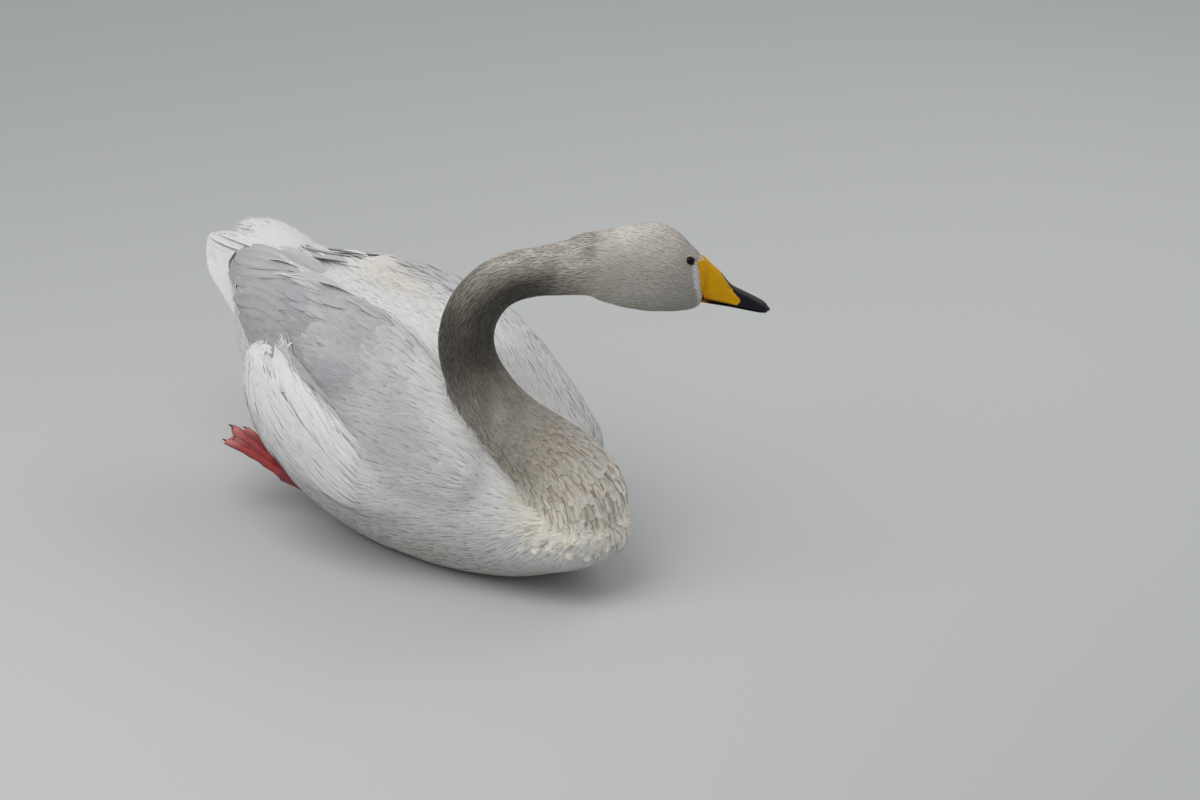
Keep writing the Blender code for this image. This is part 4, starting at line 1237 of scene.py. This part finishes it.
def leg(side, heel, knuckle, hide):
    """A round profile along the line from heel to knuckle, waisted like a bone and ringed by scutes."""
    way = unit(knuckle - heel)
    out = unit(np.cross(way, [0, 0, 1.0]))
    over = np.cross(out, way)
    share = np.linspace(0, 1.12, 66)
    turn = np.linspace(0, 2 * math.pi, 24, endpoint=False)
    radius = LEG_RADIUS * (1 - 0.25 * np.sin(math.pi * share)) * (1 + 0.03 * np.sin(share * math.pi * 34))
    radius = radius * np.sqrt(1 - step(1.0, 1.12, share) * 0.9)
    rings = (
        (heel + (knuckle - heel) * share[:, None])[:, None]
        + out * (np.cos(turn)[None] * radius[:, None])[..., None]
        + over * (np.sin(turn)[None] * radius[:, None] * 1.2)[..., None]
    )
    made = tube("leg_hide_" + side, rings[:, ::-1], hide, WEB_RED)
    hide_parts("leg_" + side)


def web(side, knuckle, length, axes, hide):
    """The toes and the web between them, as one fan. Gives the places of the toes' ends.

    Distance from the knuckle and angle to the middle toe give a place. The thickness is the web's plus a bell
    curve over each toe, with its joints.
    """
    toe, out, over = axes
    angle = np.radians(np.linspace(-TOE_SPREAD, TOE_SPREAD, FAN_COLUMNS))
    fan = np.abs(angle) / angle[-1]
    reach = length * (1 - 0.10 * fan**2 - 0.14 * np.sin(math.pi * fan) ** 2)
    radial = np.linspace(0, 1, 52) ** 0.9
    r = radial[:, None] * reach[None]
    ridge = sum(bell(0.0, TOE_RADIUS * 0.8, (angle - angle[k])[None] * r) for k in TOE_COLUMNS)
    joints = 1 + 0.16 * np.cos(radial[:, None] * 2 * math.pi * 3.5)
    high = WEB_THICK / 2 + TOE_RADIUS * np.clip(ridge, 0, 1) * joints * (1.0 - 0.5 * radial[:, None])
    sag = 0.010 * radial[:, None] ** 2 * (1 + 0.6 * fan[None] ** 2)
    folds = 0.0012 * np.sin(angle / angle[-1] * math.pi * 6)[None] * radial[:, None]
    folds = folds * (1 - np.clip(ridge, 0, 1))
    flat = (
        knuckle
        + toe * (r * np.cos(angle)[None])[..., None]
        + out * ((r + 0.022) * np.sin(angle)[None])[..., None]
        - over * (sag + folds)[..., None]
    )
    rings = np.concatenate([flat + over * high[..., None], (flat - over * high[..., None])[:, ::-1]], 1)
    on_toe = np.clip(ridge, 0, 1)[..., None]
    tint = WEB_RED * (1 - on_toe) + TOE_RED * on_toe
    tint = tint + (WEB_EDGE - tint) * (step(0.72, 1.0, radial)[:, None, None] * (0.4 + 0.5 * on_toe))
    tint = np.concatenate([tint, tint[:, ::-1]], 1)
    made = tube("foot_web_" + side, rings[:, ::-1], hide, tint[:, ::-1])
    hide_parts("foot_" + side)
    return [flat[-1, k] for k in TOE_COLUMNS]


def claws(side, ends, axes, horn):
    """A blunt cone on each toe, bent downwards by the square of the distance."""
    toe, out, over = axes
    turn = np.linspace(0, 2 * math.pi, 12, endpoint=False)
    bend = np.linspace(0, 1, 9)
    points, faces = [], []
    for end in ends:
        start = end - toe * 0.002
        line = start + toe * (bend * 0.008)[:, None] - over * (bend**2 * 0.0035)[:, None]
        size = 0.0021 * (1 - bend) ** 0.7 + 0.0002
        claw = (
            line[:, None]
            + out * (np.cos(turn)[None] * size[:, None])[..., None]
            + over * (np.sin(turn)[None] * size[:, None] * 0.8)[..., None]
        )[:, ::-1]
        faces.append(ring_faces(len(bend), len(turn)) + sum(len(p) for p in points))
        points.append(np.concatenate([claw.reshape(-1, 3), claw[:1].mean(1), claw[-1:].mean(1)]))
    points = np.concatenate(points)
    new_piece("claws_" + side, points, np.concatenate(faces), horn,
              np.broadcast_to(CLAW, points.shape))


# ---- the coat, region by region ----

def coat_head(skin, part_of, plush, rng):
    """Close tufts on the head, shortest on the face and round the eyes, up to the bare skin of the bill."""
    places, unwrap = head_roots(skin, evenly(0.0020), rng)
    head = in_head(places)
    keep = np.isin(part_of(places), [HEAD, FLESH.index("neck_upper")])
    eyes = [from_head(EYE_AT[0], sign * EYE_AT[1], EYE_AT[2]) for sign in (-1, 1)]
    eye_gap = np.minimum.reduce([np.linalg.norm(places - centre, axis=1) for centre in eyes])
    keep &= eye_gap > EYE_RADIUS * 1.10
    keep &= head[:, 0] < bare_edge(head[:, 2]) + 0.0015
    places, unwrap, head, eye_gap = pick(keep, places, unwrap, head, eye_gap)
    behind = step(0.02, -0.06, head[:, 0])
    size = (0.0050 + 0.0055 * behind) * even(rng, len(head), 0.8, 1.2)  # 5 mm in front, 10.5 mm behind
    size = size * (0.5 + 0.5 * step(0.008, 0.016, eye_gap))
    spine, normal = spines(skin, places, size, 4, rng.normal(0, 0.16, len(size)))
    feathers("coat_head", spine, normal, 0.0003 + size * 0.055, (-0.0004, 0.0007), TUFT, 0.00016, LOCK, plush,
             coat_tint(places, rng, 0.05), unwrap)


def coat_neck(name, span, skin, part_of, plush, rng):
    """Fine locks along one length of the neck, sparse at its foot, where the base's broad feathers lie."""
    places, unwrap = neck_roots(skin, lambda at: 0.0028 + 0.0008 * (1 - step(0.05, 0.15, at)), rng, span)
    station, gap = on_neck(places)
    keep = np.isin(part_of(places), NECKS) & (gap < 1.10)
    places, unwrap, at = pick(keep, places, unwrap, NECK_AT[station])
    keep = rng.uniform(0, 1, len(places)) < 0.12 + 0.88 * step(0.13, 0.23, at)
    places, unwrap, at = pick(keep, places, unwrap, at)
    low = 1 - step(0.04, 0.20, at)
    size = (0.017 + 0.008 * low) * even(rng, len(low), 0.8, 1.25)  # 17 mm above, 25 mm below
    spine, normal = spines(skin, places, size, 5, rng.normal(0, 0.14, len(size)))
    wide = (0.0007 + 0.0005 * low) * even(rng, len(low), 0.7, 1.3)
    clumps = 1 + 0.22 * (wobble(places, 0.006, 51) * step(0.12, 0.2, at))[:, None]
    feathers(name, spine, normal, wide, (-0.0006, 0.0013), STRAND, 0.0002, LOCK, plush,
             coat_tint(places, rng, 0.09) * clumps, unwrap)


def coat_neck_base(skin, part_of, plush, rng):
    """Broader feathers round the neck's foot, cream at the tip, brown at the root and along the sides."""
    places, unwrap = neck_roots(skin, lambda at: 0.0165 - 0.006 * step(0.06, 0.17, at), rng, (0.0, 0.22),
                                jitter=0.3, crowd=1.6)
    station, gap = on_neck(places)
    keep = np.isin(part_of(places), NECKS + [TRUNK]) & (gap < 1.2 - 0.14 * step(0.05, 0.10, NECK_AT[station]))
    places, unwrap, at = pick(keep, places, unwrap, NECK_AT[station])
    high = step(0.06, 0.18, at)
    size = (0.038 - 0.016 * high) * even(rng, len(at), 0.8, 1.2)  # 38 mm at the breast, 22 mm above
    spine, normal = spines(skin, places, size, 7, rng.normal(0, 0.12, len(size)))
    cream = coat_tint(places, rng, 0.07) * 1.10
    brown = mix(cream, BASE_BROWN, 0.95 * (1 - step(0.15, 0.22, at)))
    feathers("coat_neck_base", spine, normal, size * 0.17 * even(rng, len(at), 0.8, 1.2), (-0.003, 0.0010),
             VANE_OUTLINE, 0.0004, VANE, plush, cream, unwrap, brown, pale_tip=True)


def coat_body(skin, part_of, silk, rng):
    """An under layer of broad feathers on the trunk and the flanks."""
    places, unwrap = body_roots(skin, lambda x: 0.0132 + 0.002 * step(0.2, 0.0, x), rng)
    part = part_of(places)
    places, unwrap, part = pick(np.isin(part, FLANKS + [TRUNK]), places, unwrap, part)
    on_flank = np.isin(part, FLANKS)[:, None]
    rear = step(0.2, 0.0, places[:, 0])
    size = (0.030 + 0.014 * rear) * even(rng, len(places), 0.85, 1.15)  # 30 mm in front, 44 mm behind
    spine, normal = spines(skin, places, size, 7, rng.normal(0, 0.10, len(size)),
                           flow=lambda at: np.where(on_flank, flank_lie(at), body_lie(at)))
    firm = settled(skin, spine, normal)
    spine, normal, size, places, unwrap = pick(firm, spine, normal, size, places, unwrap)
    feathers("coat_body", spine, normal, size * 0.22, (-0.004, 0.0004), VANE_OUTLINE, 0.0004, VANE, silk,
             coat_tint(places, rng, 0.02), unwrap)


def coat_wings(skin, part_of, silk, rng):
    """Broad coverts on the folded wings, longer behind, as far as the roots of the tertials."""
    places, unwrap = body_roots(skin, lambda x: 0.0115 + 0.010 * step(0.12, -0.2, x), rng, (-0.345, 0.18))
    places, unwrap = pick(np.isin(part_of(places), WINGS), places, unwrap)
    rear = step(0.12, -0.15, places[:, 0])
    size = (0.034 + 0.056 * rear) * even(rng, len(places), 0.85, 1.15)  # 34 mm in front, 90 mm behind
    size = np.minimum(size, 0.035 + 0.8 * np.maximum(places[:, 0] + 0.345, 0))  # shorter at the tip
    spine, normal = spines(skin, places, size, 9, rng.normal(0, 0.06, len(size)), hold=0.9, flow=body_lie)
    firm = settled(skin, spine, normal, 0.007) & (places[:, 0] > -0.220)
    spine, normal, size, places, unwrap = pick(firm, spine, normal, size, places, unwrap)
    feathers("coat_wings", spine, normal, size * 0.19, (-0.004, 0.0006), VANE_OUTLINE, 0.0005, VANE, silk,
             coat_tint(places, rng, 0.02), unwrap)


def ahead_of(goal, places, margin):
    """Which places lie ahead of the tip that their locks run to, by a margin along the plume."""
    return (goal - places) @ unit(np.array([-1.0, 0.0, 0.7])) > margin


def flank_plumes(skin, part_of, silk, rng):
    """Long loose locks on the upper flanks that sweep up to the plumes' tips and stand off the wing."""
    places, unwrap = body_roots(skin, evenly(0.0052), rng, (-0.23, 0.02), jitter=0.5)
    below = np.interp(places[:, 0], PLUME_EDGE[:, 0], PLUME_EDGE[:, 1]) - places[:, 2]
    keep = np.isin(part_of(places), FLANKS) & (below < 0.085)
    places, unwrap, below = pick(keep, places, unwrap, below)
    upper = (below < 0.030)[:, None] & (places[:, :1] > -0.150)
    goal = np.where(upper, plume_tip(places, 1), plume_tip(places, 0))
    places, unwrap, goal = pick(ahead_of(goal, places, 0.006), places, unwrap, goal)
    size = 0.062 * even(rng, len(places), 0.75, 1.2)
    size = np.minimum(size, np.linalg.norm(goal - places, axis=1) + 0.008)
    goal = goal + unit(goal - places) * 0.03 + rng.normal(0, 0.008, goal.shape)
    spine, normal = spines(skin, places, size, 8, rng.normal(0, 0.06, len(size)), hold=0.75,
                           flow=lambda at: unit(goal - at))
    wide = 0.0021 * even(rng, len(size), 0.6, 1.5)
    # painted light: the plumes' locks 30 % brighter than the coat's tint, as if more strongly lit than the
    # wing
    tint_painted_brighter = np.minimum(coat_tint(places, rng, 0.03) * 1.3, 0.80)
    feathers("flank_plumes", spine, normal, wide, (-0.001, 0.0040), STRAND, 0.0004, LOCK, silk,
             tint_painted_brighter, unwrap)


def silk_coat(skin, part_of, silk, rng):
    """Narrow silky locks over all of the body, in one piece for each region, thinner below and behind."""
    places, unwrap = body_roots(skin, evenly(0.0048), rng, jitter=0.5)
    part = part_of(places)
    on_trunk, under = part == TRUNK, places[:, 2] < 0.13
    for name, chosen, reach, wide, flow in (
        ("silk_back", on_trunk & ~under, 0.032, 0.0014, body_lie),
        ("silk_belly", on_trunk & under, 0.030, 0.0014, body_lie),
        ("silk_flank_left", part == FLANKS[0], 0.042, 0.0013, flank_lie),
        ("silk_flank_right", part == FLANKS[1], 0.042, 0.0013, flank_lie),
        ("silk_wing_left", part == WINGS[0], 0.044, 0.0014, body_lie),
        ("silk_wing_right", part == WINGS[1], 0.044, 0.0014, body_lie),
    ):
        root, spot = pick(chosen, places, unwrap)
        if name == "silk_belly":
            keep = rng.uniform(0, 1, len(root)) < 0.45 + 0.55 * step(0.05, 0.11, root[:, 2])
            root, spot = pick(keep, root, spot)
        if name.startswith("silk_wing"):
            keep = rng.uniform(0, 1, len(root)) > step(-0.13, -0.23, root[:, 0])
            root, spot = pick(keep, root, spot)
        size = reach * even(rng, len(root), 0.7, 1.3)
        if name.startswith("silk_flank"):
            root, spot, size = pick(ahead_of(plume_tip(root, 0), root, 0.008), root, spot, size)
            size = np.minimum(size, np.linalg.norm(plume_tip(root, 0) - root, axis=1) + 0.006)
        spine, normal = spines(skin, root, size, 5, rng.normal(0, 0.14, len(size)), hold=0.9, flow=flow)
        spine, normal, root, spot = pick(settled(skin, spine, normal, 0.006), spine, normal, root, spot)
        widths = wide * even(rng, len(root), 0.6, 1.6)
        feathers(name, spine, normal, widths, (-0.0008, 0.0010), STRAND, 0.00025, LOCK, silk,
                 coat_tint(root, rng, 0.03), spot)


def triangles_of(mesh):
    """A mesh's faces as triangles."""
    mesh.calc_loop_triangles()
    corners = np.zeros(len(mesh.loop_triangles) * 3, np.int32)
    mesh.loop_triangles.foreach_get("vertices", corners)
    return corners.reshape(-1, 3)


def main():
    """Skin first, then bill, eyes, feet and tail, then the coat from the head backwards, then the studio."""
    rng = np.random.default_rng(SEED)
    down_skin = down()
    silk = feather_keratin("silky_contour_feather", 14.0, 1.6, 0.62, 0.4)
    plush = feather_keratin("plush_neck_feather", 8.0, 0.9, 0.75, 0.3)
    horn = bill_sheath()
    cornea = wet_eye()
    hide = foot_hide()

    points, faces, owner = flesh_form()
    whole = Surface(points, faces)
    mesh = make_skin(points, faces).data
    mesh.materials.append(down_skin)
    skin_points = read_points(mesh)
    put_tint(mesh, markings(skin_points) * 0.9)
    skin = Surface(skin_points, triangles_of(mesh), vertex_normals(mesh))

    def part_of(places):
        """The flesh node that lies nearest under each place."""
        return owner[whole.nearest(places)[1]]

    bill_upper(skin, horn)
    bill_lower(horn)
    for side, sign in (("left", 1), ("right", -1)):
        centre = from_head(EYE_AT[0], sign * EYE_AT[1], EYE_AT[2])
        eyeball(side, sign, centre, cornea)
        eyelids(side, sign, centre, down_skin, skin)
        foot(side, sign, hide, horn)
    tail_fan(silk, rng)
    tertials(skin, silk, rng)

    coat_head(skin, part_of, plush, rng)
    for name, span in (
        ("coat_neck_upper", (0.31, NECK_AT[-1])),
        ("coat_neck_middle", (0.15, 0.31)),
        ("coat_neck_lower", (0.0, 0.15)),
    ):
        coat_neck(name, span, skin, part_of, plush, rng)
    coat_neck_base(skin, part_of, plush, rng)
    coat_body(skin, part_of, silk, rng)
    coat_wings(skin, part_of, silk, rng)
    flank_plumes(skin, part_of, silk, rng)
    silk_coat(skin, part_of, silk, rng)
    stage()


def stage():
    """Floor, lights and camera."""
    far = 9.0
    mesh = bpy.data.meshes.new("floor")
    mesh.from_pydata([(-far, -far, 0), (far, -far, 0), (far, far, 0), (-far, far, 0)], [], [(0, 1, 2, 3)])
    mesh.materials.append(painted_floor())
    floor = bpy.data.objects.new("floor", mesh)
    bpy.context.scene.collection.objects.link(floor)

    world = bpy.data.worlds.new("studio")
    world.use_nodes = True
    sky = world.node_tree.nodes["Background"]
    sky.inputs["Color"].default_value = (0.95, 0.97, 1.0, 1)
    sky.inputs["Strength"].default_value = 0.42
    bpy.context.scene.world = world
    bpy.context.scene.view_settings.view_transform = "Standard"

    lamp("key_softbox", (-0.1, -1.2, 2.2), 2.2, 34.0)
    lamp("rim_softbox", (0.2, 1.6, 1.7), 1.4, 10.0)
    camera()


def lamp(name, place, size, power):
    """A square softbox that faces the bird."""
    data = bpy.data.lights.new(name, "AREA")
    data.size = size
    data.energy = power
    made = bpy.data.objects.new(name, data)
    bpy.context.scene.collection.objects.link(made)
    made.location = place
    made.rotation_euler = (Vector((0.0, 0.0, 0.2)) - Vector(place)).to_track_quat("-Z", "Y").to_euler()


def camera():
    """The camera stands round from the bird's right side and looks down on it, with a long lens."""
    right = np.array([math.cos(VIEW_TURN), math.sin(VIEW_TURN), 0.0])
    level = np.array([-math.sin(VIEW_TURN), math.cos(VIEW_TURN), 0.0])
    view = level * math.cos(VIEW_TILT) - np.array([0, 0, math.sin(VIEW_TILT)])
    up = level * math.sin(VIEW_TILT) + np.array([0, 0, math.cos(VIEW_TILT)])
    data = bpy.data.cameras.new("camera")
    data.lens = 200.0
    data.sensor_width = 36.0
    data.clip_end = 100.0
    made = bpy.data.objects.new("camera", data)
    bpy.context.scene.collection.objects.link(made)
    place = NECK_FOOT - view * VIEW_DISTANCE + right * VIEW_MIDDLE[0] + up * VIEW_MIDDLE[1]
    matrix = Matrix.Identity(4)
    for k, column in enumerate((right, up, -view, place)):
        for i in range(3):
            matrix[i][k] = float(column[i])
    made.matrix_world = matrix
    bpy.context.scene.camera = made


main()
